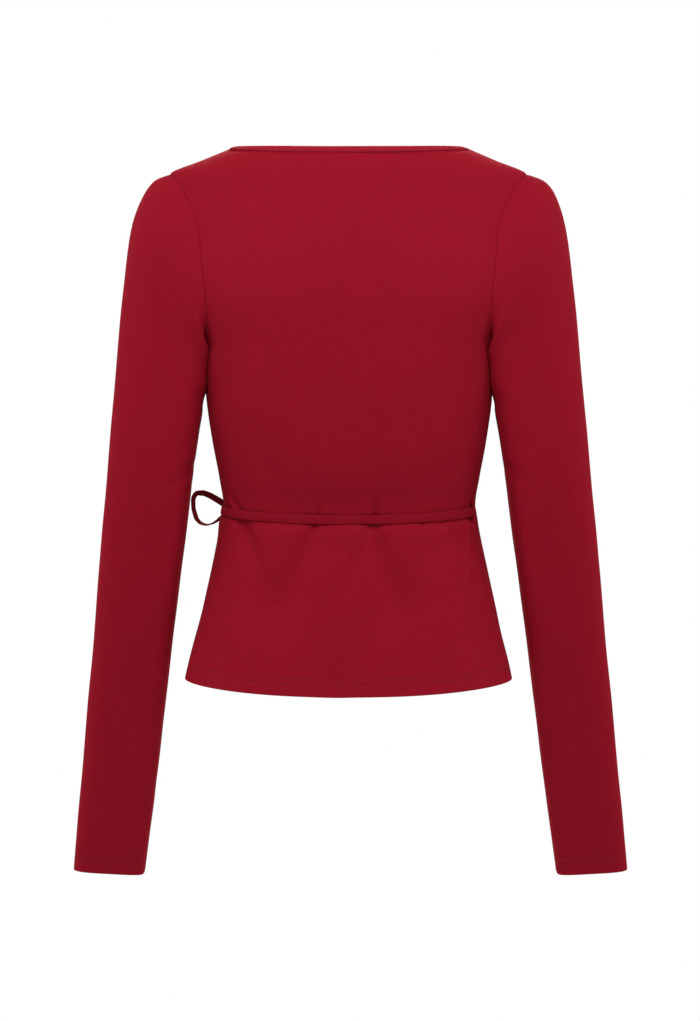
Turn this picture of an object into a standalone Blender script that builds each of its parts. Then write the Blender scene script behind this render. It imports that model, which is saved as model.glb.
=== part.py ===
"""A long-sleeved wrap top in fine jersey, filled out as it is worn, with a tie round the waist.

All sizes are metres. The origin is the middle of the shoulder line, level with the sides of
the neck. -Y is the wearer's front and +X is the wearer's left. An angle goes round the body
in degrees: 0 at the centre front, 90 at the wearer's left side, 180 at the centre back and
-90 at the wearer's right side. A level is a height, negative below the shoulder line.
"""

import math

import bmesh
import bpy
import numpy as np

# ---------------------------------------------------------------- driving dimensions

CLOTH = 0.0012              # thickness of one layer of jersey
SEAM_GAP = 0.0003           # gap between two pieces at a seam
UNDERARM_CLEAR = 0.0009     # gap where the sleeve folds down beside the side seam
LAYER_STEP = 0.0026         # outer front above inner front, outside face to outside face
HEM_SIDE = -0.4960          # level of the hem at the sides
HEM_DIP_BACK = 0.0100       # how much lower the hem is at the centre back
HEM_DIP_FRONT = 0.0040      # how much lower the hem is at the centre front
NECK_DIP = 0.0025           # how much lower the neckline is at the centre back
BINDING_WIDTH = 0.0060
BINDING_THICKNESS = 0.0016
BINDING_PROUD = 0.00025     # how far the binding stands out of its panel
TIE_WIDTH = 0.0085
TIE_THICKNESS = 0.0016
TIE_CLEAR = 0.0005          # gap between the tie and the cloth it lies on
TIE_SIDE = -0.3410          # level of the tie at the sides
TIE_DIP_BACK = 0.0055       # how much lower the tie is at the centre back
SLIT_HEIGHT = 0.0106        # full height of the slit that the tie comes out of
SLIT_TAPER = 0.0013         # length of each pointed end of the slit
SLIT_HALF_WIDTH = 0.0035
KNOT_ANGLE = 68.0
KNOT_SIZE = (0.0130, 0.0064, 0.0120)
OUTER_CORNER_ANGLE = 56.0   # where the outer front's corner reaches
INNER_CORNER_GAP = 0.0078   # from the slit to the inner front's corner, along the cloth
TAIL_LENGTHS = (0.132, 0.118)

# One row for each level of the worn body: its half width, how far its back and its front
# stand out, and how square each half of the section is (2 is an ellipse).
TORSO_COLUMNS = ("level", "half_width", "back", "front", "back_power", "front_power")
TORSO = (
    (0.010, 0.0830, 0.0750, 0.034, 1.95, 1.85),
    (0.000, 0.1060, 0.0780, 0.040, 1.85, 1.70),
    (-0.013, 0.1370, 0.0840, 0.047, 1.65, 1.60),
    (-0.026, 0.1670, 0.0880, 0.055, 1.48, 1.48),
    (-0.042, 0.1720, 0.0910, 0.065, 1.50, 1.50),
    (-0.060, 0.1755, 0.0940, 0.076, 1.58, 1.58),
    (-0.080, 0.1770, 0.0970, 0.086, 1.68, 1.68),
    (-0.107, 0.1750, 0.1000, 0.098, 1.80, 1.80),
    (-0.135, 0.1640, 0.1010, 0.105, 1.97, 1.97),
    (-0.163, 0.1460, 0.0990, 0.109, 2.17, 2.17),
    (-0.190, 0.1365, 0.0960, 0.109, 2.30, 2.30),
    (-0.235, 0.1340, 0.0880, 0.104, 2.30, 2.30),
    (-0.275, 0.1284, 0.0810, 0.098, 2.25, 2.25),
    (-0.310, 0.1224, 0.0755, 0.092, 2.20, 2.20),
    (-0.335, 0.1190, 0.0735, 0.090, 2.20, 2.20),
    (-0.352, 0.1200, 0.0740, 0.090, 2.20, 2.20),
    (-0.388, 0.1278, 0.0800, 0.093, 2.20, 2.20),
    (-0.445, 0.1400, 0.0940, 0.099, 2.30, 2.30),
    (-0.510, 0.1560, 0.1070, 0.104, 2.35, 2.35),
)

# The bust shaping of the two fronts: one soft rise on each side of the centre front.
BUST_RISE = 0.0090
BUST_SIDE = 0.0660
BUST_LEVEL = -0.1900
BUST_SPREAD_ACROSS = 0.0420
BUST_SPREAD_DOWN = 0.0520

# The armhole seam from the shoulder tip down to the underarm, as a share of the body's half
# width at each level.
ARMHOLE_COLUMNS = ("level", "back_share", "front_share")
ARMHOLE = (
    (-0.026, 1.000, 1.000),
    (-0.032, 0.953, 0.952),
    (-0.040, 0.892, 0.890),
    (-0.051, 0.842, 0.838),
    (-0.061, 0.797, 0.790),
    (-0.081, 0.757, 0.746),
    (-0.107, 0.757, 0.744),
    (-0.127, 0.776, 0.764),
    (-0.153, 0.852, 0.846),
    (-0.169, 0.914, 0.911),
    (-0.188, 1.000, 1.000),
)
SHOULDER_TIP = ARMHOLE[0][0]
UNDERARM = ARMHOLE[-1][0]

# The side seam runs a little behind the side of the body.
SIDE_SEAM_COLUMNS = ("level", "angle")
SIDE_SEAM = (
    (-0.188, 90.0),
    (-0.230, 96.0),
    (-0.275, 102.0),
    (-0.341, 110.5),
    (-0.390, 119.0),
    (-0.445, 123.5),
    (-0.510, 126.5),
)

# The top edge of each front, from the side of the neck down to the corner that carries a tie.
# Angles are for the outer front; the inner front's are mirrored.
NECKLINE_COLUMNS = ("level", "outer_angle", "inner_angle")
NECKLINE = (
    (0.0000, -90.0, -90.0),
    (-0.0015, -75.0, -75.0),
    (-0.0050, -64.5, -64.5),
    (-0.0200, -45.7, -45.7),
    (-0.0500, -38.0, -38.0),
    (-0.1000, -25.1, -25.1),
    (-0.1500, -14.6, -14.6),
    (-0.2000, -3.5, -2.0),
    (-0.2500, 9.5, 18.0),
    (-0.2900, 26.0, 46.0),
    (-0.3310, OUTER_CORNER_ANGLE, 105.0),
)
FREE_EDGE_TURN = 4.0        # how far each free edge swings back towards the front at the hem

# Folds that the tie presses into the waist of the back: how far from the centre, to the
# wearer's left, how deep, and half as wide and tall as each is.
# Columns: side, level, depth, half width, half height.
WAIST_FOLDS = (
    (-0.0235, -0.3480, 0.0026, 0.0085, 0.0230),
    (0.0300, -0.3480, 0.0016, 0.0090, 0.0200),
    (0.0990, -0.3500, 0.0020, 0.0090, 0.0220),
    (-0.0900, -0.3500, 0.0014, 0.0100, 0.0200),
)

# Cross-sections of a sleeve: its outer point, its inner point, half its depth from front to
# back, how far its middle lies behind the side seam, and how much of the armhole's own shape
# is left in it. The first row is the armhole.
# Columns: outer x, outer z, inner x, inner z, half depth, centre y, armhole share.
SLEEVE = (
    (0.1670, -0.0260, 0.1365, -0.1880, 0.0600, 0.0000, 1.00),
    (0.1805, -0.0310, 0.1374, -0.1895, 0.0575, 0.0000, 0.88),
    (0.1890, -0.0392, 0.1375, -0.1915, 0.0551, 0.0000, 0.74),
    (0.1955, -0.0515, 0.1375, -0.1940, 0.0530, 0.0000, 0.59),
    (0.2010, -0.0670, 0.1375, -0.1975, 0.0512, 0.0000, 0.44),
    (0.2050, -0.0850, 0.1374, -0.2015, 0.0497, 0.0000, 0.30),
    (0.2080, -0.1060, 0.1373, -0.2065, 0.0485, 0.0000, 0.18),
    (0.2105, -0.1310, 0.1372, -0.2130, 0.0476, 0.0005, 0.09),
    (0.2135, -0.1600, 0.1371, -0.2220, 0.0469, 0.0010, 0.03),
    (0.2162, -0.1900, 0.1372, -0.2330, 0.0463, 0.0015, 0.00),
    (0.2188, -0.2200, 0.1384, -0.2460, 0.0455, 0.0020, 0.00),
    (0.2212, -0.2480, 0.1416, -0.2640, 0.0448, 0.0020, 0.00),
    (0.2236, -0.2760, 0.1450, -0.2870, 0.0438, 0.0015, 0.00),
    (0.2260, -0.3030, 0.1482, -0.3120, 0.0425, 0.0005, 0.00),
    (0.2286, -0.3320, 0.1513, -0.3400, 0.0410, -0.0010, 0.00),
    (0.2314, -0.3610, 0.1546, -0.3690, 0.0396, -0.0030, 0.00),
    (0.2339, -0.3900, 0.1580, -0.3980, 0.0382, -0.0055, 0.00),
    (0.2363, -0.4190, 0.1615, -0.4270, 0.0368, -0.0085, 0.00),
    (0.2390, -0.4480, 0.1651, -0.4560, 0.0354, -0.0120, 0.00),
    (0.2415, -0.4770, 0.1685, -0.4850, 0.0341, -0.0155, 0.00),
    (0.2441, -0.5060, 0.1720, -0.5140, 0.0328, -0.0195, 0.00),
    (0.2467, -0.5350, 0.1756, -0.5430, 0.0316, -0.0235, 0.00),
    (0.2493, -0.5640, 0.1791, -0.5720, 0.0304, -0.0275, 0.00),
    (0.2519, -0.5930, 0.1829, -0.6000, 0.0293, -0.0310, 0.00),
    (0.2545, -0.6220, 0.1866, -0.6285, 0.0282, -0.0345, 0.00),
    (0.2571, -0.6510, 0.1903, -0.6565, 0.0272, -0.0375, 0.00),
    (0.2594, -0.6775, 0.1938, -0.6815, 0.0264, -0.0400, 0.00),
)

# Middle line of the bow loop that stands out at the wearer's left, as seen from behind, and
# how far its strip is turned out of the line of sight, in degrees.
# Columns: x, y, z, tilt.
LOOP_OUT = (
    (0.1222, -0.0330, -0.3372, 40.0),
    (0.1255, -0.0300, -0.3330, 44.0),
    (0.1312, -0.0270, -0.3283, 46.0),
    (0.1380, -0.0250, -0.3262, 44.0),
    (0.1435, -0.0240, -0.3280, 38.0),
    (0.1467, -0.0240, -0.3335, 30.0),
    (0.1462, -0.0248, -0.3412, 26.0),
    (0.1425, -0.0262, -0.3482, 23.0),
    (0.1372, -0.0278, -0.3523, 20.0),
    (0.1314, -0.0295, -0.3534, 20.0),
    (0.1258, -0.0315, -0.3516, 24.0),
    (0.1222, -0.0335, -0.3478, 30.0),
)
# Middle line of the other loop, which stands on its edge on the front, and its height there.
LOOP_FLAT_LIFT = 0.0078
# Columns: angle, level.
LOOP_FLAT = (
    (62.6, -0.3395),
    (57.0, -0.3352),
    (50.0, -0.3362),
    (44.0, -0.3430),
    (42.5, -0.3520),
    (46.5, -0.3590),
    (53.0, -0.3590),
    (59.0, -0.3535),
    (63.4, -0.3478),
)

# Mesh resolution.
ARMHOLE_ROWS = 10
UPPER_SEAM_ROWS = 8
LOWER_SEAM_ROWS = 7
SHOULDER_COLUMNS = 3
BACK_COLUMNS = 22
FRONT_COLUMNS = 20
SLEEVE_SIDES = 2 * ARMHOLE_ROWS
CURVE_SAMPLES = 160
SECTION_REACH = 140         # degrees round the body, from its middle, that a panel may reach

JERSEY_COLOUR = (0.262, 0.010, 0.022, 1.0)
BINDING_COLOUR = (0.300, 0.014, 0.028, 1.0)
TIE_COLOUR = (0.275, 0.011, 0.024, 1.0)
JERSEY_ROUGHNESS = 0.85


# ---------------------------------------------------------------- reading the tables

def smooth_through(keys, values, at):
    """Read values at the keys `at` on a smooth curve that never overshoots its points."""
    steps = np.diff(keys)
    slopes = np.diff(values) / steps
    before = slopes[:-1]
    after = slopes[1:]
    same_way = before * after > 0.0
    safe_before = np.where(same_way, before, 1.0)
    safe_after = np.where(same_way, after, 1.0)
    weight_before = 2.0 * steps[1:] + steps[:-1]
    weight_after = steps[1:] + 2.0 * steps[:-1]
    weights = weight_before + weight_after
    harmonic = weights / (weight_before / safe_before + weight_after / safe_after)
    tangents = np.concatenate((slopes[:1], np.where(same_way, harmonic, 0.0), slopes[-1:]))
    at = np.clip(np.asarray(at, dtype=float), keys[0], keys[-1])
    row = np.clip(np.searchsorted(keys, at) - 1, 0, len(steps) - 1)
    part = (at - keys[row]) / steps[row]
    rise = values[row + 1] - values[row]
    bend_in = tangents[row] * steps[row] - rise
    bend_out = rise - tangents[row + 1] * steps[row]
    return values[row] + part * rise + part * (1.0 - part) * (bend_in * (1.0 - part) + bend_out * part)


def column(table, names, name):
    """One named column of a table, as an array."""
    return np.array([row[names.index(name)] for row in table])


def at_level(table, names, name, level):
    """Read one column of a table whose first column falls from row to row."""
    keys = column(table, names, names[0])[::-1]
    return smooth_through(keys, column(table, names, name)[::-1], level)


def ease(share):
    """A soft step from 0 to 1."""
    share = np.clip(share, 0.0, 1.0)
    return share * share * (3.0 - 2.0 * share)


def unit(vectors):
    """Vectors scaled to a length of 1."""
    return vectors / np.maximum(np.linalg.norm(vectors, axis=-1, keepdims=True), 1e-12)


# ---------------------------------------------------------------- the worn body

def figure(angle, level):
    """Points on the outside of the worn body."""
    angle, level = np.broadcast_arrays(np.asarray(angle, float), np.asarray(level, float))
    across = np.sin(np.radians(angle))
    ahead = np.cos(np.radians(angle))
    in_front = ahead > 0.0
    half = at_level(TORSO, TORSO_COLUMNS, "half_width", level)
    reach_front = at_level(TORSO, TORSO_COLUMNS, "front", level)
    reach_back = at_level(TORSO, TORSO_COLUMNS, "back", level)
    power_front = at_level(TORSO, TORSO_COLUMNS, "front_power", level)
    power_back = at_level(TORSO, TORSO_COLUMNS, "back_power", level)
    bend = 2.0 / np.where(in_front, power_front, power_back)
    x = half * np.sign(across) * np.abs(across) ** bend
    y = -np.where(in_front, reach_front, reach_back) * np.sign(ahead) * np.abs(ahead) ** bend
    aside = (np.abs(x) - BUST_SIDE) / BUST_SPREAD_ACROSS
    down = (level - BUST_LEVEL) / BUST_SPREAD_DOWN
    rise = BUST_RISE * np.exp(-0.5 * (aside ** 2 + down ** 2)) * ease(ahead / 0.5)
    return np.stack((x, y - rise, level), axis=-1)


def outward(angle, level):
    """Unit vectors pointing out of the worn body."""
    turn = 0.4
    drop = 0.0008
    along = figure(angle + turn, level) - figure(angle - turn, level)
    up = figure(angle, level + drop) - figure(angle, level - drop)
    return unit(np.cross(along, up))


def waist_fold_depth(points):
    """How far the folds under the tie press the back inwards at each point."""
    depth = np.zeros(points.shape[:-1])
    for side, level, deep, half_width, half_height in WAIST_FOLDS:
        aside = (points[..., 0] - side) / half_width
        down = (points[..., 2] - level) / half_height
        depth += deep * np.exp(-0.5 * (aside ** 2 + down ** 2))
    return depth * (points[..., 1] > 0.0)


def above(angle, level, lift):
    """Points that lie `lift` above the worn body."""
    return figure(angle, level) + outward(angle, level) * np.asarray(lift)[..., None]


def cloth(angle, level, lift=0.0):
    """Points of a panel that lies `lift` above the worn body, with the folds pressed in."""
    return above(angle, level, np.asarray(lift) - waist_fold_depth(figure(angle, level)))


def outer_lift(angle):
    """The outer front rises across the inner one, from nothing at its own side seam."""
    return LAYER_STEP * ease((angle + 80.0) / 160.0)


def inner_lift(angle):
    """The inner front lies one layer under the outer one (angles not mirrored)."""
    return outer_lift(angle) - LAYER_STEP


def hem_level(angle):
    """Level of the hem round the body."""
    ahead = np.cos(np.radians(angle))
    dip = np.where(ahead > 0.0, HEM_DIP_FRONT, HEM_DIP_BACK)
    return HEM_SIDE - dip * ahead ** 2


# ---------------------------------------------------------------- lines on the body

def spaced(line, count):
    """Put `count` points at even distances along a line of (angle, level) pairs."""
    places = figure(line[:, 0], line[:, 1])
    run = np.concatenate(([0.0], np.cumsum(np.linalg.norm(np.diff(places, axis=0), axis=1))))
    even = np.linspace(0.0, run[-1], count)
    return np.stack((np.interp(even, run, line[:, 0]), np.interp(even, run, line[:, 1])), axis=1)


def beside(line, distance):
    """Move a line of (angle, level) pairs along the body, to the right of the way it runs."""
    angle = line[:, 0]
    level = line[:, 1]
    turn = 0.4
    drop = 0.0006
    by_angle = (figure(angle + turn, level) - figure(angle - turn, level)) / (2.0 * turn)
    by_level = (figure(angle, level + drop) - figure(angle, level - drop)) / (2.0 * drop)
    course = np.gradient(line, axis=0)
    way = by_angle * course[:, :1] + by_level * course[:, 1:]
    step = unit(np.cross(way, outward(angle, level))) * distance
    moved = line.copy()
    for index in range(len(line)):
        frame = np.stack((by_angle[index], by_level[index]), axis=1)
        change = np.linalg.lstsq(frame, step[index], rcond=None)[0]
        moved[index] += change
    return moved


def armhole_line(share_column, behind):
    """The armhole seam on the wearer's left, from the shoulder tip to the underarm."""
    blend = np.linspace(0.0, 1.0, CURVE_SAMPLES)
    level = SHOULDER_TIP + (UNDERARM - SHOULDER_TIP) * (0.5 - 0.5 * np.cos(math.pi * blend))
    share = at_level(ARMHOLE, ARMHOLE_COLUMNS, share_column, level)
    power_column = "back_power" if behind else "front_power"
    power = at_level(TORSO, TORSO_COLUMNS, power_column, level)
    angle = np.degrees(np.arcsin(np.clip(share, 0.0, 1.0) ** (power / 2.0)))
    if behind:
        angle = 180.0 - angle
    return np.stack((angle, level), axis=1)


def seam_levels():
    """Levels of the rows down the side seam, with the four that shape the slit."""
    slit_top = TIE_SIDE + SLIT_HEIGHT / 2.0
    slit_bottom = TIE_SIDE - SLIT_HEIGHT / 2.0
    upper = np.linspace(UNDERARM, slit_top + SLIT_TAPER, UPPER_SEAM_ROWS + 1)[1:]
    lower = np.linspace(slit_bottom - SLIT_TAPER, HEM_SIDE, LOWER_SEAM_ROWS + 1)
    return np.concatenate((upper, [slit_top, slit_bottom], lower))


def side_seam_line(levels):
    """The side seam on the wearer's left at the given levels, ending on the hem."""
    angle = at_level(SIDE_SEAM, SIDE_SEAM_COLUMNS, "angle", levels)
    line = np.stack((angle, levels), axis=1)
    line[-1, 1] = hem_level(line[-1, 0])
    return line


def slit_share(levels):
    """1 beside the slit, 0 above and below it."""
    reach = SLIT_HEIGHT / 2.0 + SLIT_TAPER * 0.5
    return np.where(np.abs(levels - TIE_SIDE) < reach, 1.0, 0.0)


def degrees_for(distance, angle, level):
    """How many degrees round the body a short distance takes."""
    span = np.linalg.norm(figure(angle + 0.5, level) - figure(angle - 0.5, level), axis=-1)
    return distance / span


def front_neckline(which):
    """Top edge of a front, from the side of the neck down to its corner."""
    blend = np.linspace(0.0, 1.0, CURVE_SAMPLES)
    level = NECKLINE[-1][0] * blend ** 1.6
    return np.stack((at_level(NECKLINE, NECKLINE_COLUMNS, which, level), level), axis=1)


def back_neckline():
    """Top edge of the back, from the wearer's left to the wearer's right."""
    angle = np.linspace(90.0, 270.0, CURVE_SAMPLES)
    return np.stack((angle, -NECK_DIP * np.cos(np.radians(angle)) ** 2), axis=1)


def neck_loop():
    """The whole neckline, from the outer front's corner round the back to the inner corner."""
    outer = front_neckline("outer_angle")[::-1]
    back = back_neckline()[::-1]
    inner = front_neckline("inner_angle")
    back = np.stack((back[:, 0] - 360.0, back[:, 1]), axis=1)
    inner = np.stack((-inner[:, 0] - 360.0, inner[:, 1]), axis=1)
    return np.concatenate((outer, back[1:], inner[1:]))


def neck_lift(angle):
    """Height of the neckline over the body along the whole loop."""
    outer = outer_lift(angle)
    inner = inner_lift(angle + 360.0)
    return np.where(angle > -90.0, outer, np.where(angle < -270.0, inner, 0.0))


def even_places(line, first, last, count):
    """Places along part of a line, as shares of its index, that lie at even distances."""
    part = line[first:last + 1]
    points = figure(part[:, 0], part[:, 1])
    run = np.concatenate(([0.0], np.cumsum(np.linalg.norm(np.diff(points, axis=0), axis=1))))
    return first + np.interp(np.linspace(0.0, run[-1], count), run, np.arange(len(part)))


def take(line, places):
    """Read a line of (angle, level) pairs at places between its points."""
    index = np.arange(len(line))
    return np.stack([np.interp(places, index, line[:, axis]) for axis in (0, 1)], axis=1)


def neck_edges():
    """The cut edge under the binding, the binding's middle, and the rows that meet them.

    The rows run from the outer front's corner to the inner front's: up the outer front, round
    the back and down the inner front.
    """
    loop = neck_loop()
    cut = beside(loop, -(BINDING_WIDTH + SEAM_GAP / 2.0))
    middle = beside(loop, -BINDING_WIDTH / 2.0)
    right_neck = int(np.argmin(np.abs(cut[:, 0] + 90.0)))
    left_neck = int(np.argmin(np.abs(cut[:, 0] + 270.0)))
    cut[right_neck, 0] = -90.0
    cut[left_neck, 0] = -270.0
    outer_turn = int(np.argmin(np.abs(cut[:right_neck, 1] - UNDERARM)))
    inner_turn = left_neck + int(np.argmin(np.abs(cut[left_neck:, 1] - UNDERARM)))
    back_count = BACK_COLUMNS - 2 * SHOULDER_COLUMNS + 1
    outer = np.concatenate((even_places(cut, 0, outer_turn, UPPER_SEAM_ROWS + 1),
                            even_places(cut, outer_turn, right_neck, ARMHOLE_ROWS + 1)[1:]))
    back = even_places(cut, right_neck, left_neck, back_count)
    inner = np.concatenate((even_places(cut, left_neck, inner_turn, ARMHOLE_ROWS + 1),
                            even_places(cut, inner_turn, len(cut) - 1, UPPER_SEAM_ROWS + 1)[1:]))
    return cut, middle, (outer, back, inner)


# ---------------------------------------------------------------- making meshes

def section_runs(level, base):
    """Angles round the body, and how far along its section at each level each of them lies."""
    angles = base + np.arange(-SECTION_REACH, SECTION_REACH + 1.0)
    points = figure(angles[None, :], level[:, None])
    lengths = np.linalg.norm(np.diff(points, axis=1), axis=2)
    runs = np.concatenate((np.zeros((len(level), 1)), np.cumsum(lengths, axis=1)), axis=1)
    return angles, runs - runs[:, SECTION_REACH:SECTION_REACH + 1]


def flattened(field, base):
    """Turn (angle, level) pairs into (distance round the body from `base`, level) pairs."""
    pairs = field.reshape(-1, 2)
    angles, runs = section_runs(pairs[:, 1], base)
    flat = np.array([np.interp(angle, angles, run) for angle, run in zip(pairs[:, 0], runs)])
    return np.stack((flat, pairs[:, 1]), axis=1).reshape(field.shape)


def wrapped(field, base):
    """Turn (distance round the body, level) pairs back into (angle, level) pairs."""
    pairs = field.reshape(-1, 2)
    angles, runs = section_runs(pairs[:, 1], base)
    turned = np.array([np.interp(along, run, angles) for along, run in zip(pairs[:, 0], runs)])
    return np.stack((turned, pairs[:, 1]), axis=1).reshape(field.shape)


def fill_between(top, bottom, left, right, base):
    """Spread rows and columns of (angle, level) pairs between four edges, as on flat cloth."""
    top, bottom, left, right = [flattened(edge, base) for edge in (top, bottom, left, right)]
    down = np.linspace(0.0, 1.0, len(left))[:, None, None]
    across = np.linspace(0.0, 1.0, len(top))[None, :, None]
    rows = left[:, None, :] * (1.0 - across) + right[:, None, :] * across
    columns = top[None, :, :] * (1.0 - down) + bottom[None, :, :] * down
    upper = top[0] * (1.0 - across) + top[-1] * across
    lower = bottom[0] * (1.0 - across) + bottom[-1] * across
    return wrapped(rows + columns - (upper * (1.0 - down) + lower * down), base)


def draw_in(grid, distance, across=True, down=True):
    """Draw the edges of a grid of points in along the surface."""
    moved = grid.copy()
    if down:
        moved[0] += unit(grid[1] - grid[0]) * distance
        moved[-1] += unit(grid[-2] - grid[-1]) * distance
    if across:
        moved[:, 0] += unit(grid[:, 1] - grid[:, 0]) * distance
        moved[:, -1] += unit(grid[:, -2] - grid[:, -1]) * distance
    return moved


def make_object(name, vertices, faces, material):
    """A smooth closed mesh object with its faces pointing out."""
    mesh = bpy.data.meshes.new(name)
    builder = bmesh.new()
    corners = [builder.verts.new(vertex) for vertex in vertices]
    for face in faces:
        builder.faces.new([corners[index] for index in face])
    bmesh.ops.recalc_face_normals(builder, faces=builder.faces)
    builder.to_mesh(mesh)
    builder.free()
    mesh.materials.append(material)
    mesh.shade_smooth()
    mesh.set_sharp_from_angle(angle=math.radians(50.0))
    made = bpy.data.objects.new(name, mesh)
    bpy.context.collection.objects.link(made)
    return made


def shell(name, outside, inside, material, tube=False):
    """A wall between two grids of points; a tube also joins its last column to its first."""
    row_count, column_count = outside.shape[:2]
    size = row_count * column_count
    last = column_count if tube else column_count - 1
    faces = []

    def at(row, place, layer):
        return layer * size + row * column_count + place % column_count

    for row in range(row_count - 1):
        for place in range(last):
            faces.append((at(row, place, 0), at(row, place + 1, 0),
                          at(row + 1, place + 1, 0), at(row + 1, place, 0)))
            faces.append((at(row, place, 1), at(row + 1, place, 1),
                          at(row + 1, place + 1, 1), at(row, place + 1, 1)))
    for place in range(last):
        for row in (0, row_count - 1):
            faces.append((at(row, place, 0), at(row, place + 1, 0),
                          at(row, place + 1, 1), at(row, place, 1)))
    if not tube:
        for row in range(row_count - 1):
            for place in (0, column_count - 1):
                faces.append((at(row, place, 0), at(row + 1, place, 0),
                              at(row + 1, place, 1), at(row, place, 1)))
    vertices = np.concatenate((outside.reshape(-1, 3), inside.reshape(-1, 3)))
    return make_object(name, vertices.tolist(), faces, material)


def strip_section(width, thickness):
    """The rounded outline of a flat strip, as (along its width, out of its face) pairs."""
    half = width / 2.0
    flat = half - thickness * 0.45
    deep = thickness / 2.0
    return ((half, deep * 0.45), (flat, deep), (-flat, deep), (-half, deep * 0.45),
            (-half, -deep * 0.45), (-flat, -deep), (flat, -deep), (half, -deep * 0.45))


def strip(name, path, width_way, face_way, width, thickness, material):
    """A flat strip along a path, with capped ends."""
    section = strip_section(width, thickness)
    sides = len(section)
    vertices = []
    for place, wide, out in zip(path, width_way, face_way):
        for along, proud in section:
            vertices.append(tuple(place + wide * along + out * proud))
    faces = []
    for row in range(len(path) - 1):
        for side in range(sides):
            after = (side + 1) % sides
            faces.append((row * sides + side, row * sides + after,
                          (row + 1) * sides + after, (row + 1) * sides + side))
    faces.append(tuple(range(sides)))
    faces.append(tuple(range((len(path) - 1) * sides, len(path) * sides)))
    return make_object(name, vertices, faces, material)


def along_path(path):
    """Unit vectors along a path of points."""
    return unit(np.gradient(path, axis=0))


def make_material(name, colour, roughness):
    """A plain cloth material."""
    material = bpy.data.materials.new(name)
    material.use_nodes = True
    shader = material.node_tree.nodes["Principled BSDF"]
    shader.inputs["Base Color"].default_value = colour
    shader.inputs["Roughness"].default_value = roughness
    shader.inputs["Metallic"].default_value = 0.0
    material.diffuse_color = colour
    return material


# ---------------------------------------------------------------- body panels

def panel(name, field, lift, material):
    """A body panel: a wall whose outside lies `lift` above the worn body."""
    angle = field[..., 0]
    level = field[..., 1]
    outside = draw_in(cloth(angle, level, lift), SEAM_GAP / 2.0)
    inside = outside - outward(angle, level) * CLOTH
    return shell(name, outside, inside, material)


def back_panel(material):
    """The back, from side seam to side seam and from hem to neckline."""
    cut, _, rows = neck_edges()
    neck = take(cut, rows[1])[::-1]
    neck[:, 0] += 360.0
    shoulder = np.linspace((90.0, SHOULDER_TIP), neck[0], CURVE_SAMPLES)
    top = np.concatenate((spaced(shoulder, SHOULDER_COLUMNS + 1)[:-1], neck))
    far_shoulder = spaced(shoulder, SHOULDER_COLUMNS + 1)[::-1][1:]
    top = np.concatenate((top, np.stack((360.0 - far_shoulder[:, 0], far_shoulder[:, 1]), axis=1)))
    armhole = spaced(armhole_line("back_share", True), ARMHOLE_ROWS + 1)
    seam = side_seam_line(seam_levels())
    left = np.concatenate((armhole, seam))
    right = np.stack((360.0 - left[:, 0], left[:, 1]), axis=1)
    opened = slit_share(right[:, 1]) * degrees_for(SLIT_HALF_WIDTH, right[:, 0], right[:, 1])
    right[:, 0] -= opened
    hem_angle = np.linspace(left[-1, 0], right[-1, 0], CURVE_SAMPLES)
    bottom = spaced(np.stack((hem_angle, hem_level(hem_angle)), axis=1), BACK_COLUMNS + 1)
    field = fill_between(top, bottom, left, right, 180.0)
    return panel("back_panel", field, 0.0, material)


def front_field(outer):
    """Rows and columns of a front, laid out as the outer one (the inner one is mirrored)."""
    cut, _, rows = neck_edges()
    if outer:
        neck = take(cut, rows[0])[::-1]
    else:
        neck = take(cut, rows[2])
        neck[:, 0] = -(neck[:, 0] + 360.0)
    shoulder = np.linspace((-90.0, SHOULDER_TIP), neck[0], CURVE_SAMPLES)
    top = spaced(shoulder, FRONT_COLUMNS + 1)
    armhole = spaced(armhole_line("front_share", False), ARMHOLE_ROWS + 1)
    levels = seam_levels()
    seam = side_seam_line(levels)
    left = np.concatenate((armhole, seam))
    left = np.stack((-left[:, 0], left[:, 1]), axis=1)
    opened = slit_share(left[:, 1]) * degrees_for(SLIT_HALF_WIDTH, left[:, 0], left[:, 1])
    left[:, 0] += opened * outer
    corner = neck[-1]
    slit_row = levels[UPPER_SEAM_ROWS - 1]
    share = (levels[UPPER_SEAM_ROWS:] - slit_row) / (levels[-1] - slit_row)
    free_angle = corner[0] - FREE_EDGE_TURN * ease(share)
    free_level = corner[1] + (HEM_SIDE - corner[1]) * share
    free = np.stack((free_angle, free_level), axis=1)
    free[-1, 1] = hem_level(free[-1, 0])
    right = np.concatenate((neck, free))
    hem_angle = np.linspace(left[-1, 0], right[-1, 0], CURVE_SAMPLES)
    bottom = spaced(np.stack((hem_angle, hem_level(hem_angle)), axis=1), FRONT_COLUMNS + 1)
    return fill_between(top, bottom, left, right, 0.0)


def front_outer(material):
    """The wearer's right front, which laps over to the wearer's left."""
    field = front_field(True)
    return panel("front_outer", field, outer_lift(field[..., 0]), material)


def front_inner(material):
    """The wearer's left front, which laps under to the wearer's right."""
    field = front_field(False)
    field[..., 0] *= -1.0
    return panel("front_inner", field, inner_lift(field[..., 0]), material)


# ---------------------------------------------------------------- sleeves

def armhole_ring():
    """Points round the left armhole, with the way out of the body and across the seam."""
    half = SLEEVE_SIDES // 2
    back = spaced(armhole_line("back_share", True), half + 1)
    front = spaced(armhole_line("front_share", False), half + 1)[::-1]
    ring = np.concatenate((back[:-1], front[:-1]))
    places = figure(ring[:, 0], ring[:, 1])
    out = outward(ring[:, 0], ring[:, 1])
    course = unit(np.roll(places, -1, axis=0) - np.roll(places, 1, axis=0))
    return places, out, unit(np.cross(course, out))


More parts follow.
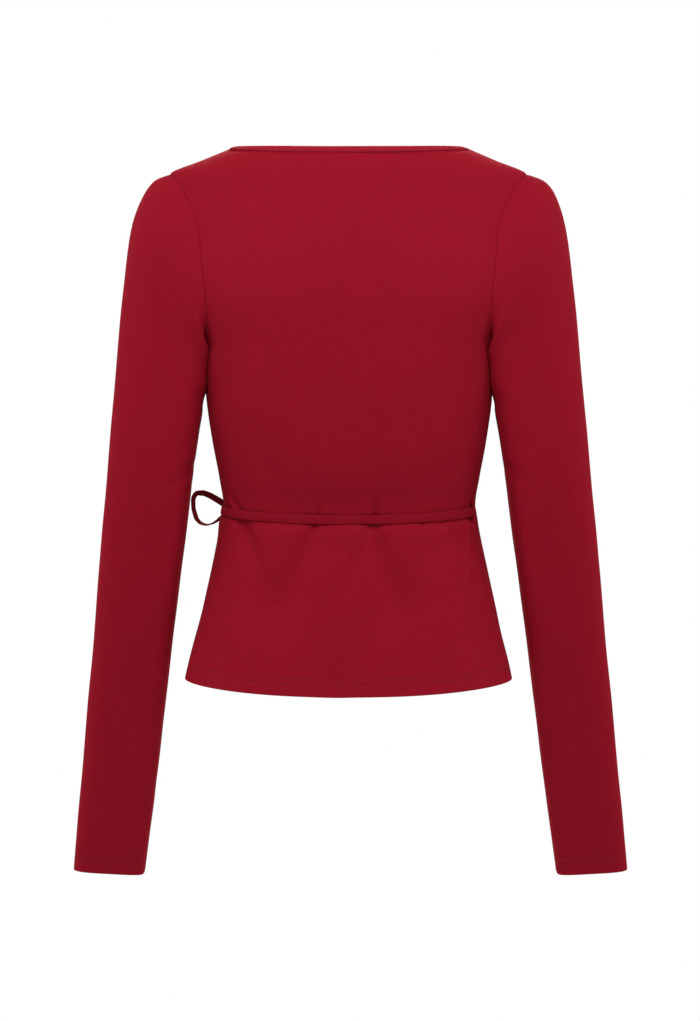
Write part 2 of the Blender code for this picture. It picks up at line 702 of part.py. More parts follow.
def sleeve_rings():
    """Outside and inside points of the left sleeve, one row for each section."""
    turn = np.radians(np.arange(SLEEVE_SIDES) * 360.0 / SLEEVE_SIDES)
    places, body_out, seam_way = armhole_ring()
    rows = []
    for outer_x, outer_z, inner_x, inner_z, half_depth, centre_y, armhole in SLEEVE:
        top = np.array((outer_x, centre_y, outer_z))
        low = np.array((inner_x, centre_y, inner_z))
        middle = (top + low) / 2.0
        reach = (top - low) / 2.0
        depth = np.array((0.0, half_depth, 0.0))
        ring = middle + np.cos(turn)[:, None] * reach + np.sin(turn)[:, None] * depth
        if not rows:
            own_shape = places - ring
        rows.append(ring + own_shape * armhole)
    outside = np.array(rows)
    under = (0.5 - 0.5 * np.cos(turn))[:, None]
    outside[0] += body_out * under * UNDERARM_CLEAR
    outside = draw_in(outside, SEAM_GAP / 2.0, across=False)
    round_way = np.roll(outside, -1, axis=1) - np.roll(outside, 1, axis=1)
    down_way = np.gradient(outside, axis=0)
    inward = unit(np.cross(round_way, down_way))
    if np.sum(inward[-1] * (outside[-1] - outside[-1].mean(axis=0))) > 0.0:
        inward = -inward
    lean = np.minimum(np.sum(inward[0] * seam_way, axis=1), 0.0)
    inward[0] -= seam_way * lean[:, None]
    return outside, outside + inward * CLOTH


def sleeve(name, side, material):
    """A long sleeve; side is 1 for the wearer's left and -1 for the right."""
    outside, inside = sleeve_rings()
    mirror = np.array((side, 1.0, 1.0))
    return shell(name, outside * mirror, inside * mirror, material, tube=True)


# ---------------------------------------------------------------- binding and ties

def neck_binding(material):
    """The folded strip round the neckline, from one front's corner to the other's."""
    _, course, rows = neck_edges()
    line = take(course, np.concatenate((rows[0], rows[1][1:], rows[2][1:])))
    angle = line[:, 0]
    level = line[:, 1]
    middle = BINDING_PROUD - BINDING_THICKNESS / 2.0
    path = above(angle, level, neck_lift(angle) + middle)
    out = outward(angle, level)
    wide = unit(np.cross(along_path(path), out))
    trimmed = draw_in(path[:, None, :], SEAM_GAP / 2.0, across=False)[:, 0, :]
    return strip("neck_binding", trimmed, wide, out, BINDING_WIDTH - SEAM_GAP / 2.0,
                 BINDING_THICKNESS, material)


def tie_level(angle):
    """Level of the middle of the tie round the body."""
    behind = np.maximum(-np.cos(np.radians(angle)), 0.0)
    return TIE_SIDE - TIE_DIP_BACK * behind ** 1.5


def knot_frame():
    """The knot's centre, and the ways forward along the tie, up and out."""
    level = tie_level(KNOT_ANGLE)
    out = outward(KNOT_ANGLE, level)
    forward = unit(figure(KNOT_ANGLE - 1.0, level) - figure(KNOT_ANGLE + 1.0, level))
    centre = figure(KNOT_ANGLE, level) + out * (TIE_CLEAR + KNOT_SIZE[1] / 2.0)
    return centre, forward, unit(np.cross(forward, out)), out


def body_strip(name, angle, level, lift, material):
    """A flat tie that lies along the body."""
    path = above(angle, level, lift)
    out = outward(angle, level)
    wide = unit(np.cross(along_path(path), out))
    return strip(name, path, wide, out, TIE_WIDTH, TIE_THICKNESS, material)


def tie_long(material):
    """From the inner front's corner, out of the slit, across the back and round to the knot."""
    slit = 360.0 - float(at_level(SIDE_SEAM, SIDE_SEAM_COLUMNS, "angle", TIE_SIDE))
    per_metre = float(degrees_for(1.0, slit, TIE_SIDE))
    start = slit + (INNER_CORNER_GAP - SEAM_GAP) * per_metre
    through = np.linspace(start, slit - 0.006 * per_metre, 12)
    knot_side = float(degrees_for(KNOT_SIZE[0] / 2.0 + SEAM_GAP, KNOT_ANGLE, TIE_SIDE))
    rest = np.linspace(through[-1], KNOT_ANGLE + knot_side, 44)[1:]
    angle = np.concatenate((through, rest))
    on_top = TIE_CLEAR + TIE_THICKNESS / 2.0
    inside = -LAYER_STEP - CLOTH / 2.0
    share = ease((slit + 0.0042 * per_metre - angle) / (0.0084 * per_metre))
    lift = inside + (on_top - inside) * share
    return body_strip("tie_long", angle, tie_level(angle), lift, material)


def tie_short(material):
    """From the outer front's corner to the knot."""
    knot_side = float(degrees_for(KNOT_SIZE[0] / 2.0 + SEAM_GAP, KNOT_ANGLE, TIE_SIDE))
    angle = np.linspace(OUTER_CORNER_ANGLE + 0.6, KNOT_ANGLE - knot_side, 7)
    lift = outer_lift(angle) - CLOTH / 2.0
    return body_strip("tie_short", angle, tie_level(angle), lift, material)


def bow_knot(material):
    """The knot that holds the bow: a small rounded block."""
    centre, forward, up, out = knot_frame()
    half = np.array(KNOT_SIZE) / 2.0
    sides = 14
    rows = 8
    vertices = []
    for row in range(1, rows):
        tip = math.pi * row / rows
        for side in range(sides):
            turn = 2.0 * math.pi * side / sides
            ring = math.sin(tip) ** 0.7
            along = math.copysign(abs(math.cos(turn)) ** 0.7, math.cos(turn)) * ring
            proud = math.copysign(abs(math.sin(turn)) ** 0.7, math.sin(turn)) * ring
            height = math.copysign(abs(math.cos(tip)) ** 0.7, math.cos(tip))
            spot = centre + forward * half[0] * along + out * half[1] * proud
            vertices.append(tuple(spot + up * half[2] * height))
    faces = [tuple(range(sides)), tuple(range((rows - 2) * sides, (rows - 1) * sides))]
    for row in range(rows - 2):
        for side in range(sides):
            after = (side + 1) % sides
            faces.append((row * sides + side, row * sides + after,
                          (row + 1) * sides + after, (row + 1) * sides + side))
    return make_object("bow_knot", vertices, faces, material)


def spaced_points(points, count):
    """A smooth curve through points, at even distances."""
    run = np.concatenate(([0.0], np.cumsum(np.linalg.norm(np.diff(points, axis=0), axis=1))))
    even = np.linspace(0.0, run[-1], count)
    columns = [smooth_through(run, points[:, axis], even) for axis in range(points.shape[1])]
    return np.stack(columns, axis=1)


def bow_loop_out(material):
    """The loop that stands out beside the waist."""
    table = spaced_points(np.array(LOOP_OUT), 26)
    path = table[:, :3]
    tilt = np.radians(table[:, 3])[:, None]
    backward = np.array((0.0, 1.0, 0.0))
    beyond = unit(np.cross(along_path(path), backward))
    wide = unit(np.cos(tilt) * backward + np.sin(tilt) * beyond)
    out = unit(np.cross(along_path(path), wide))
    return strip("bow_loop_out", path, wide, out, TIE_WIDTH, TIE_THICKNESS, material)


def bow_loop_flat(material):
    """The loop that lies on the front, beside the knot."""
    table = spaced_points(np.array(LOOP_FLAT), 22)
    path = above(table[:, 0], table[:, 1], LOOP_FLAT_LIFT)
    wide = outward(table[:, 0], table[:, 1])
    out = unit(np.cross(along_path(path), wide))
    wide = unit(np.cross(out, along_path(path)))
    return strip("bow_loop_flat", path, wide, out, TIE_WIDTH, TIE_THICKNESS, material)


def bow_tail(name, start_shift, end_angle, length, material):
    """A tail that hangs from the knot over the front."""
    start_level = tie_level(KNOT_ANGLE) - KNOT_SIZE[2] / 2.0 - SEAM_GAP * 2.0
    start_angle = KNOT_ANGLE + float(degrees_for(start_shift, KNOT_ANGLE, TIE_SIDE))
    level = np.linspace(start_level, start_level - length, 12)
    share = ease((start_level - level) / length)
    angle = start_angle + (end_angle - start_angle) * share
    return body_strip(name, angle, level, TIE_CLEAR + TIE_THICKNESS / 2.0, material)


# ---------------------------------------------------------------- the whole top

def main():
    for old in list(bpy.data.objects):
        bpy.data.objects.remove(old, do_unlink=True)
    jersey = make_material("jersey", JERSEY_COLOUR, JERSEY_ROUGHNESS)
    binding = make_material("binding", BINDING_COLOUR, JERSEY_ROUGHNESS)
    tie = make_material("tie", TIE_COLOUR, JERSEY_ROUGHNESS)
    back_panel(jersey)
    front_outer(jersey)
    front_inner(jersey)
    sleeve("sleeve_left", 1.0, jersey)
    sleeve("sleeve_right", -1.0, jersey)
    neck_binding(binding)
    tie_long(tie)
    tie_short(tie)
    bow_knot(tie)
    bow_loop_out(tie)
    bow_loop_flat(tie)
    bow_tail("bow_tail_rear", 0.0045, KNOT_ANGLE + 4.5, TAIL_LENGTHS[0], tie)
    bow_tail("bow_tail_front", -0.0045, KNOT_ANGLE - 4.0, TAIL_LENGTHS[1], tie)


main()
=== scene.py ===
"""Looks of the long-sleeved wrap top: its cloth, binding, tie and bow in fine detail, with the
seams, stitching, creases and knit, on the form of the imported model.

Sizes are metres, and millimetres in the tables of sections, creases and hollows. -Y is the
wearer's front and +X is the wearer's left. An angle goes round the body in degrees: 0 at the
centre front, 90 at the wearer's left side, 180 at the centre back. A level is a height, negative
below the shoulder line.
"""

import math

import bmesh
import bpy
import numpy as np
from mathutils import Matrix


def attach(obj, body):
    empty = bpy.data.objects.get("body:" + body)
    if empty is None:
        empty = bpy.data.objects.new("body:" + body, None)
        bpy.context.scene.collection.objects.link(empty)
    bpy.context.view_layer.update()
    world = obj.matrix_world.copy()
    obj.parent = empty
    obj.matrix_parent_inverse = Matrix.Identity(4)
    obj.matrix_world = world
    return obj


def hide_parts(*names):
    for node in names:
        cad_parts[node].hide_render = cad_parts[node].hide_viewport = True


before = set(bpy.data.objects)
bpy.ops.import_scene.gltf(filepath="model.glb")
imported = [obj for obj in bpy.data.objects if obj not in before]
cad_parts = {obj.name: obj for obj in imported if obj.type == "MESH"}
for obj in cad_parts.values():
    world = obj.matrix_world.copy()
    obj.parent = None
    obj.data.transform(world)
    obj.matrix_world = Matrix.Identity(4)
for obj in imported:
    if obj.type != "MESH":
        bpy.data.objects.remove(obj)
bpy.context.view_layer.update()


def metres(rows, columns=None):
    """A table in metres from one in millimetres, or only its first columns so."""
    table = np.array(rows, dtype=float)
    table[:, :columns] /= 1000.0
    return table


# ---- form, as in the model

SEAM_GAP = 0.0003
UNDERARM_CLEAR = 0.0009
SWING_LEFT = 0.0012  # how far out each sleeve swings at its cuff, and where that starts
SWING_RIGHT = 0.0050
SWING_TOP = -0.2000
LAYER_STEP = 0.0026  # from one front to the other, and the angles over which they part
LAYER_RISE = (-80.0, 80.0)
HEM_SIDE = -0.4985
HEM_DIP_BACK = 0.0078
HEM_DIP_FRONT = 0.0030
NECK_DIP = 0.0025
BINDING_WIDTH = 0.0060
BINDING_THICKNESS = 0.0016
BINDING_PROUD = 0.00025
TIE_WIDTH = 0.0085
TIE_THICKNESS = 0.0016
TIE_CLEAR = 0.0005
TIE_SIDE = -0.3398
TIE_DIP_BACK = 0.0055
TIE_DIP_POWER = 1.5
SLIT_HEIGHT = 0.0106
SLIT_TAPER = 0.0013
SLIT_REACH = SLIT_HEIGHT / 2.0 + SLIT_TAPER
SLIT_TOP = TIE_SIDE + SLIT_REACH
SLIT_HALF_WIDTH = 0.0035
KNOT_ANGLE = 68.0
KNOT_SIZE = (0.0130, 0.0064, 0.0120)
OUTER_CORNER_ANGLE = 56.0
INNER_CORNER_GAP = 0.0078
MODEL_CLOTH = 0.0012

TORSO_COLUMNS = ("level", "half_width", "back", "front", "back_power", "front_power")
TORSO = metres((
    (10, 83, 75, 34, 1.95, 1.85),
    (0, 106, 78, 40, 1.85, 1.7),
    (-13, 137, 84, 47, 1.65, 1.6),
    (-26, 167, 88, 55, 1.48, 1.48),
    (-42, 172, 91, 65, 1.5, 1.5),
    (-60, 175.5, 94, 76, 1.58, 1.58),
    (-80, 177, 97, 86, 1.68, 1.68),
    (-107, 175, 100, 98, 1.88, 1.8),
    (-135, 164, 101, 105, 2.15, 1.97),
    (-163, 146, 99, 109, 2.42, 2.17),
    (-190, 136.5, 96.7, 109, 2.46, 2.3),
    (-235, 134, 91.2, 104, 2.36, 2.3),
    (-275, 128.4, 85.3, 98, 2.28, 2.25),
    (-310, 122, 79.1, 92, 2.22, 2.2),
    (-335, 118.4, 72, 90, 2.22, 2.2),
    (-342, 119.5, 71.1, 90, 2.22, 2.2),
    (-348, 120.5, 70.9, 90, 2.22, 2.2),
    (-356, 121.7, 72, 90, 2.22, 2.2),
    (-388, 128.2, 78.4, 93, 2.25, 2.2),
    (-445, 140.7, 90.5, 99, 2.35, 2.3),
    (-485, 151.1, 99.3, 102, 2.35, 2.33),
    (-510, 156.7, 104.8, 104, 2.35, 2.35),
), 4)
WAIST_SWAY = -0.0008  # how far the waist stands to the wearer's right
SWAY_IN = (-0.200, -0.245)  # the levels at which that starts and ends
SWAY_OUT = (-0.465, -0.430)
BUST_RISE = 0.0090
BUST_SIDE = 0.0660
BUST_LEVEL = -0.1900
BUST_SPREAD_ACROSS = 0.0420
BUST_SPREAD_DOWN = 0.0520
ARMHOLE_COLUMNS = ("level", "back_share", "front_share")
ARMHOLE = metres((
    (-26, 1.0, 1.0),
    (-32, 0.953, 0.952),
    (-40, 0.9, 0.89),
    (-51, 0.859, 0.838),
    (-61, 0.82, 0.79),
    (-81, 0.781, 0.746),
    (-107, 0.775, 0.744),
    (-127, 0.792, 0.764),
    (-153, 0.86, 0.846),
    (-169, 0.914, 0.911),
    (-188, 1.0, 1.0),
), 1)
SHOULDER_TIP = ARMHOLE[0][0]
UNDERARM = ARMHOLE[-1][0]
SIDE_SEAM_COLUMNS = ("level", "angle")
SIDE_SEAM = metres((
    (-188, 90.0),
    (-230, 94.0),
    (-275, 98.0),
    (-341, 105.5),
    (-390, 113.0),
    (-445, 120.0),
    (-510, 124.5),
), 1)
NECKLINE_COLUMNS = ("level", "outer_angle", "inner_angle")
NECKLINE = metres((
    (0, -90.0, -90.0),
    (-1.5, -75.0, -75.0),
    (-5, -64.5, -64.5),
    (-20, -45.7, -45.7),
    (-50, -38.0, -38.0),
    (-100, -25.1, -25.1),
    (-150, -14.6, -14.6),
    (-200, -3.5, -2.0),
    (-250, 9.5, 18.0),
    (-290, 26.0, 46.0),
    (-331, OUTER_CORNER_ANGLE, 105.0),
), 1)
FREE_EDGE_TURN = 4.0
# Columns: outer x, outer z, inner x, inner z, half depth, centre y, armhole share.
SLEEVE = metres((
    (167, -26, 136.5, -188, 60, 0, 1.0),
    (180.5, -31, 137.4, -189.5, 57.5, 0, 0.88),
    (189, -39.2, 137.5, -191.5, 55.1, 0, 0.74),
    (195.5, -51.5, 137.5, -194, 53, 0, 0.59),
    (201, -67, 137.5, -197.5, 51.2, 0, 0.44),
    (205, -85, 137.4, -201.5, 49.7, 0, 0.3),
    (208, -106, 137.3, -206.5, 48.5, 0, 0.18),
    (210.5, -131, 137.2, -213, 47.6, 0.5, 0.09),
    (213.5, -160, 137.1, -222, 46.9, 1, 0.03),
    (216.2, -190, 137.2, -233, 46.3, 1.5, 0.0),
    (218.8, -220, 137.2, -246, 45.5, 2, 0.0),
    (221.2, -248, 140, -264, 44.8, 2, 0.0),
    (223.6, -276, 143.3, -287, 43.8, 1.5, 0.0),
    (226, -303, 146.7, -312, 42.5, 0.5, 0.0),
    (228.6, -332, 150.1, -340, 41, -1, 0.0),
    (231.4, -361.7, 153.7, -369.7, 39.6, -3, 0.0),
    (233.9, -391.4, 157.4, -399.4, 38.2, -5.5, 0.0),
    (236.3, -421.1, 161.2, -429.1, 36.8, -8.5, 0.0),
    (239, -450.8, 165, -458.8, 35.4, -12, 0.0),
    (241.7, -480.5, 168.5, -488.5, 34.1, -15.5, 0.0),
    (244.6, -510.2, 172, -518.2, 32.8, -19.5, 0.0),
    (247.5, -540, 175.6, -548, 31.6, -23.5, 0.0),
    (250.4, -569.7, 179.1, -577.7, 30.4, -27.5, 0.0),
    (253.2, -599.4, 182.9, -606.4, 29.3, -31.3, 0.0),
    (256.1, -629.1, 186.6, -635.6, 28.2, -35.3, 0.0),
    (258.9, -658.8, 190.3, -664, 27.2, -39.6, 0.0),
    (261.4, -686.2, 194, -689.6, 26.4, -44, 0.0),
), 6)
# Columns: x, y, z, tilt in degrees.
LOOP_OUT = metres((
    (116.8, -34.5, -337.5, 46.0),
    (120.1, -33.8, -335.2, 48.0),
    (125.7, -32, -331.6, 46.0),
    (132.3, -29.5, -327.8, 43.0),
    (137.9, -27.5, -325.8, 40.0),
    (142.6, -25.8, -325.7, 35.0),
    (145.9, -24.7, -328.6, 29.0),
    (147, -24.4, -333.6, 25.0),
    (146.8, -24.4, -339.3, 24.0),
    (145.4, -24.7, -345.5, 25.0),
    (143.3, -25.2, -350.8, 22.0),
    (139.2, -26.2, -354.5, 14.0),
    (134.3, -27.5, -355.9, 4.0),
    (129.4, -29, -354.9, -6.0),
    (124.7, -31, -352.3, -16.0),
    (121, -33, -349.6, -24.0),
    (117.3, -34.5, -346.5, -26.0),
), 3)
LOOP_FLAT_LIFT = 0.0078
# Columns: angle, level in metres.
LOOP_FLAT = np.array((
    (62.6, -0.3395),
    (57.0, -0.3352),
    (50.0, -0.3362),
    (44.0, -0.3430),
    (42.5, -0.3520),
    (46.5, -0.3590),
    (53.0, -0.3590),
    (59.0, -0.3535),
    (63.4, -0.3478),
))
LOOP_ROWS = 120
TAIL_ROWS = 90
# Columns: name, node, way of its start from the knot's middle, turn in degrees, length.
TAILS = (
    ("tail_rear_cloth", "bow_tail_rear", 0.0045, 4.5, 0.132),
    ("tail_front_cloth", "bow_tail_front", -0.0045, -4.0, 0.118),
)
CURVE_SAMPLES = 160
OUTLINE_SAMPLES = 900
SLEEVE_SAMPLES = 1200
SECTION_REACH = 140

# ---- detail

WALL = 0.0008  # thickness of the cloth as it is seen at its edges
WALL_TUCKED = 0.6  # share of that lost where it is tucked away
RIM = 0.0005  # radius of a folded edge
RIM_LEAST = 0.03  # square of the least share of the wall left at such an edge
ROW_STEP = 0.0027  # spacing of the cloth's mesh
COLUMN_STEP = 0.0024
EDGE_ROWS = (0.0004, 0.0008, 0.0013, 0.0020, 0.0030, 0.0042)
LINE_ROWS = (-0.0018, -0.0011, -0.0006, 0.0, 0.0006, 0.0011, 0.0018)
SLIT_ROWS = np.arange(-0.0082, 0.0083, 0.0006)
ROW_KNOTS = (0.0, 0.362, 0.664, 1.0)  # shares down a panel of its underarm and its slit
SHOULDER_KNOT = 3.0 / 22.0  # share across the back at which the neckline starts
NECK_END = 0.012  # shares of a panel over which the binding's hold on it ends
FREE_NECK_END = 0.006
SIDE_LENGTH = 0.483  # rough lengths of the panels' edges, from which their mesh is spaced
BACK_WIDTH = 0.30
FRONT_WIDTH = 0.25
BINDING_SAMPLES = 760
NECKLINE_PACE = 1.6  # how much closer the neckline's points are at its top
WRAP_LEVELS = np.linspace(-0.512, 0.012, 525)
WRAP_REACHES = np.linspace(-0.36, 0.36, 721)
CREASE_SAMPLES = 28
CREASE_REACH = 3.0  # how many half widths from its middle a crease ends
CREASE_SIDES = 0.45  # how much the cloth rises beside a crease
TURN_REACH = 0.055  # where and how far a panel's rows turn down at the armhole's bottom
TURN_DROP = 0.013
TURN_START = 0.16
TURN_END = 0.66
TURN_FADE = (1.0, 0.3)
SEAM_SINK = 0.00038  # how deep two panels roll in at their seam, and how wide
SEAM_ROLL = 0.0008
SEAM_RIDGE = 0.00012  # the seam allowance showing through beside it
SEAM_RIDGE_AT = 0.0040
SEAM_RIDGE_HALF = 0.0018
SEAM_LEAST = 0.05  # how clear the armhole seam is low down, and where it gets clear
SEAM_CLEARER = (-0.076, -0.046)
SIDE_CLEARER = 0.40  # how much clearer the side seam is, and where it gets so
SIDE_FROM = (-0.200, -0.220)
ALLOWANCE = 0.0016  # how far the seam allowance stands in from a seam
ALLOWANCE_FROM = 0.0004
ALLOWANCE_HALF = 0.0008
NECK_TUCK = 0.0030  # how far the cloth reaches in between the folds of the binding
NECK_TUCK_EDGE = (NECK_TUCK + 0.0005, NECK_TUCK - 0.0007)
NECK_SINK = 0.00045
NECK_GROOVE = 0.0026  # the shadowed line where the cloth goes into the binding
NECK_GROOVE_AT = NECK_TUCK + 0.0008
NECK_GROOVE_HALF = 0.0011
HEM_LINES = (0.0110, 0.0160)  # rows of stitches, up from the edge
CUFF_LINES = (0.0110, 0.0160)
LINE_SINK = 0.00030  # how deep a row of stitches pulls in
LINE_HALF = 0.0008
LINE_UNEVEN = 0.25  # how much that depth changes along the row
SLACK_FINE = 0.00016  # how deep the cloth's own fine and broad waves are
SLACK_BROAD = 0.00022
CREASED_SIDE = (-0.15, 0.35)  # how far cloth faces the side its creases are on
FREE_EDGE_LINE = 0.0050
STITCH = 0.0024  # length of a stitch, and the space to the next
STITCH_GAP = 0.0006
THREAD = 0.00022  # radius of the thread
STITCH_HEIGHTS = np.array((-0.9, 0.5, 0.9, 0.5, -0.9)) * THREAD
STITCH_WIDTHS = np.array((0.45, 0.9, 1.0, 0.9, 0.45)) * THREAD
STITCH_SIDES = 6
BINDING_LINE = 0.0012  # how far the binding's stitches are from its lower edge
BINDING_LINE_HEIGHT = 0.46  # and how many thicknesses above its middle
RIBBON_SIDES = 32
RIBBON_POWER = 0.80  # how square a sewn tube's section is
RIBBON_GROOVE = (0.16, 0.70, 0.10)  # depth, place and half width of the groove by its roll
RIBBON_UNEVEN = 0.02  # how much its width changes
TIE_CRINKLE = 0.00006
BINDING_CRINKLE = 0.00009
RIBBON_ENDS = ((0.55, 0.00016), (0.90, 0.00032))  # size of each end ring, and how far out it is
TIE_SINK = 0.0011  # how deep the tie presses the waist in
TIE_SINK_HALF = 0.0050
TIE_SWELL = 0.0013  # how far the cloth swells below it
TIE_SWELL_DROP = 0.0135
TIE_SWELL_HALF = 0.0090
INNER_TIE_FROM = (62.0, 70.0)  # the angles over which the tie's channel starts on the inner front
SLEEVE_SIDES = 112
CONTACT_LEAN = 0.0062  # how far the sleeves lean in to touch the body under the arms
CONTACT_CLEAR = 0.0005
# Where that starts and is full, in x, down from the armhole, and in level from above and below.
CONTACT_SIDE = (0.165, 0.150)
CONTACT_SEAM = (0.0, 0.026)
CONTACT_TOP = (-0.160, -0.196)
CONTACT_END = (-0.245, -0.215)
BARE_SIDE = (0.150, 0.142)  # the part of a sleeve beside the body that has no creases
BARE_LEVEL = (-0.262, -0.250)
SLEEVE_TURNED = (-0.25, 0.25)  # how far a sleeve faces back where its creases change over
WITH_BODY = (0.05, 0.45)  # where a sleeve's seam faces as the body does, and how far down
WITH_BODY_REACH = 0.0060
INNER_POWER = 4.8  # how square the sleeve's side towards the body is, and its outer side
OUTER_POWER = 2.9
SQUARE_FROM = (0.004, 0.038)
HEAD_SWELL = 0.0009  # the right sleeve head is fuller than the left one
HEAD_LEVEL = -0.040
HEAD_HALF = 0.022
HEAD_SIDE = (0.1, 0.7)  # how far it faces outward, and how far down, where it is fuller
HEAD_REACH = 0.030
SLIT_TURN = 0.0042  # half the length over which the tie comes out of the slit
SLIT_PAST = 0.006  # how far past the slit the tie's close rows go
TIE_SLIT_ROWS = 30
TIE_ROWS = 320
TIE_SHORT_ROWS = 24
CORNER_TURN = 0.6  # degrees from the outer front's corner to the short tie
KNOT_ROWS = 44
KNOT_SIDES = 72
KNOT_TIP = 0.03  # how small the hole at each end of the knot is, in radians
KNOT_POWER = 0.75
KNOT_END_POWER = 0.6
KNOT_FOLD_HALF = 0.10
KNOT_UNEVEN = 0.05
KNOT_FOLDS = ((-0.42, 0.20, 0.10), (0.05, 0.26, 0.14), (0.48, 0.16, 0.09))  # place, slant, depth
TAIL_RIPPLE = 0.0006

# Creases. Columns: depth at the start, middle and end, half width at the start and end, then
# the points (x, z) that it runs through. A negative depth is a ridge.
BACK_CREASES = (
    (2.4, 5, 0, 3.8, 23, ((-24, -346), (-31, -372), (-41, -404), (-50, -445))),
    (1.8, 2, 0, 2.8, 13, ((-22.5, -346), (-6, -382), (6, -412), (12, -440))),
    (2.4, 1.4, 0, 2.2, 4, ((-24.3, -344), (-25, -334), (-24.5, -324))),
    (-1.5, -1.3, 0, 2.2, 3.4, ((-18.5, -340), (-16.5, -332), (-14, -323))),
    (-1.5, -1.3, 0, 2.2, 3.4, ((-30.5, -340), (-33, -332), (-35, -323))),
    (2.2, 5.4, 0, 3.8, 23.5, ((29, -346), (40.5, -372), (53, -402), (61, -433), (65, -452))),
    (1.8, 0.9, 0, 2.2, 4.6, ((28, -344), (27, -335), (25, -325))),
    (-1.2, -1, 0, 2.6, 4.4, ((33.5, -340), (40, -327), (48, -316))),
    (-1, -0.6, 0, 2.6, 4.4, ((21.5, -340), (19, -331), (16, -324))),
    (4.4, 4.4, 0, 5.6, 20, ((99.5, -346), (92, -372), (82.5, -402), (75, -433), (71, -452))),
    (2.6, 2, 0, 2.2, 3.2, ((101.2, -340), (104.8, -333), (108.5, -327.5), (112.5, -321.5))),
    (-1.1, -1, 0, 2.2, 3.2, ((107.2, -338), (111.5, -329), (115, -323))),
    (1.6, 0.8, 0, 3.4, 8, ((-69, -348), (-64, -360), (-60, -374))),
    (-1.4, -1.2, 0, 3.4, 7, ((-95, -346), (-90, -358), (-78, -370), (-69, -376))),
    (-1, -0.9, -0.3, 1.8, 2.8, ((-111.5, -350), (-111.5, -374), (-111, -410), (-110, -450))),
    (-0.9, -0.8, 0, 2, 3, ((-107, -333), (-106, -320), (-104, -304))),
    (3, 1.4, 0, 1.8, 2.6, ((-114.8, -339.5), (-115.2, -334), (-114.8, -328))),
    (4.6, 3, 0, 2.8, 1.8, ((-115, -346.5), (-115.2, -349.5), (-115, -353))),
    (0, 1.2, 0.5, 12, 16, ((-52, -450), (-56, -476), (-58, -500))),
    (0, 1.2, 0.6, 12, 12, ((80, -260), (72, -300), (64, -334))),
    (0, 0.8, 0, 11, 11, ((-86, -270), (-90, -300), (-90, -334))),
    (0, 0.8, 0, 6, 8, ((122, -178), (118, -205), (115, -240))),
    (0, 0.8, 0, 6, 8, ((-122, -180), (-118, -208), (-115, -245))),
)
# Broad hollows of the back, and swells where the depth is negative; the first four are the folds
# at the tie. Columns: x, z, depth, half width, half height.
BACK_HOLLOWS = metres((
    (-23.5, -353, 1.6, 8.5, 20),
    (30, -353, 1.1, 9, 19),
    (99, -350, 2, 9, 22),
    (-90, -350, 1.4, 10, 20),
    (66.5, -422.5, 6.2, 14, 21),
    (-51, -426.5, 6.8, 15, 23),
    (12.5, -485, 5.2, 11, 30),
    (60, -250, -2.2, 30, 28),
    (-33, -235, -3, 29, 33),
    (-48, -288, -2.4, 33, 22),
    (42, -293, -2, 28, 20),
))
FRONT_CREASES = (
    (1, 0.9, 0, 4.5, 14, ((95, -326), (56, -290), (5, -256), (-42, -230))),
    (1, 0.8, 0, 4, 12, ((90, -332), (44, -313), (-15, -299), (-70, -293))),
    (0.9, 0.7, 0, 4, 11, ((99, -320), (80, -280), (64, -244))),
    (1.1, 0.9, 0, 4.5, 15, ((90, -353), (74, -390), (64, -435))),
    (0.9, 0.6, 0, 4.5, 15, ((84, -349), (38, -370), (-12, -404))),
    (0.8, 0.6, 0, 4, 11, ((-106, -334), (-88, -302), (-76, -264))),
    (1, 0.8, 0, 4, 13, ((-104, -352), (-88, -386), (-80, -436))),
    (0.5, 0.8, 0, 7, 13, ((-42, -356), (-42, -396), (-34, -456))),
    (0.6, 0.8, 0, 5, 9, ((124, -190), (104, -204), (86, -212))),
    (0.6, 0.8, 0, 5, 9, ((-124, -192), (-106, -208), (-90, -220))),
    (0, 0.6, 0, 8, 10, ((-78, -56), (-64, -104), (-36, -156))),
    (0, 0.6, 0, 8, 10, ((80, -60), (68, -108), (46, -150))),
)
# Creases of the back of each sleeve, laid out for the wearer's left, then of its front.
LEFT_BEHIND = (
    (0, 2.2, 0, 10, 11, ((178, -90), (171.5, -145), (167, -210), (164, -260))),
    (-0.6, -0.7, 0, 2.2, 3.4, ((143.2, -274), (145.8, -286), (150, -296))),
    (0.9, 1.3, 0, 3.6, 8, ((145.6, -296), (153.5, -308), (164, -316), (176, -319))),
    (0, 1.1, 0, 9, 13, ((164, -318), (169, -356), (176, -424))),
    (-0.6, -0.6, 0, 4, 6, ((186.2, -616), (189, -630), (191, -645))),
    (0, 0.7, 0, 8, 10, ((188, -470), (196, -530), (206, -590))),
    (0, 0.6, 0, 6, 8, ((148, -124), (152, -164), (149, -200))),
)
LEFT_BEFORE = (
    (1.2, 1.8, 0, 3.6, 8, ((148, -298), (160, -306), (178, -308), (194, -304))),
    (1, 1.4, 0, 3.4, 7, ((150, -316), (162, -328), (179, -333))),
    (0, 1.2, 0, 4, 7, ((226, -308), (210, -324), (194, -328))),
    (0, 1, 0, 9, 11, ((172, -100), (168, -170), (170, -250))),
    (1, 1, 0, 4, 8, ((142, -200), (152, -186), (164, -156))),
    (0, 1, 0, 8, 11, ((176, -350), (184, -430), (196, -510))),
)
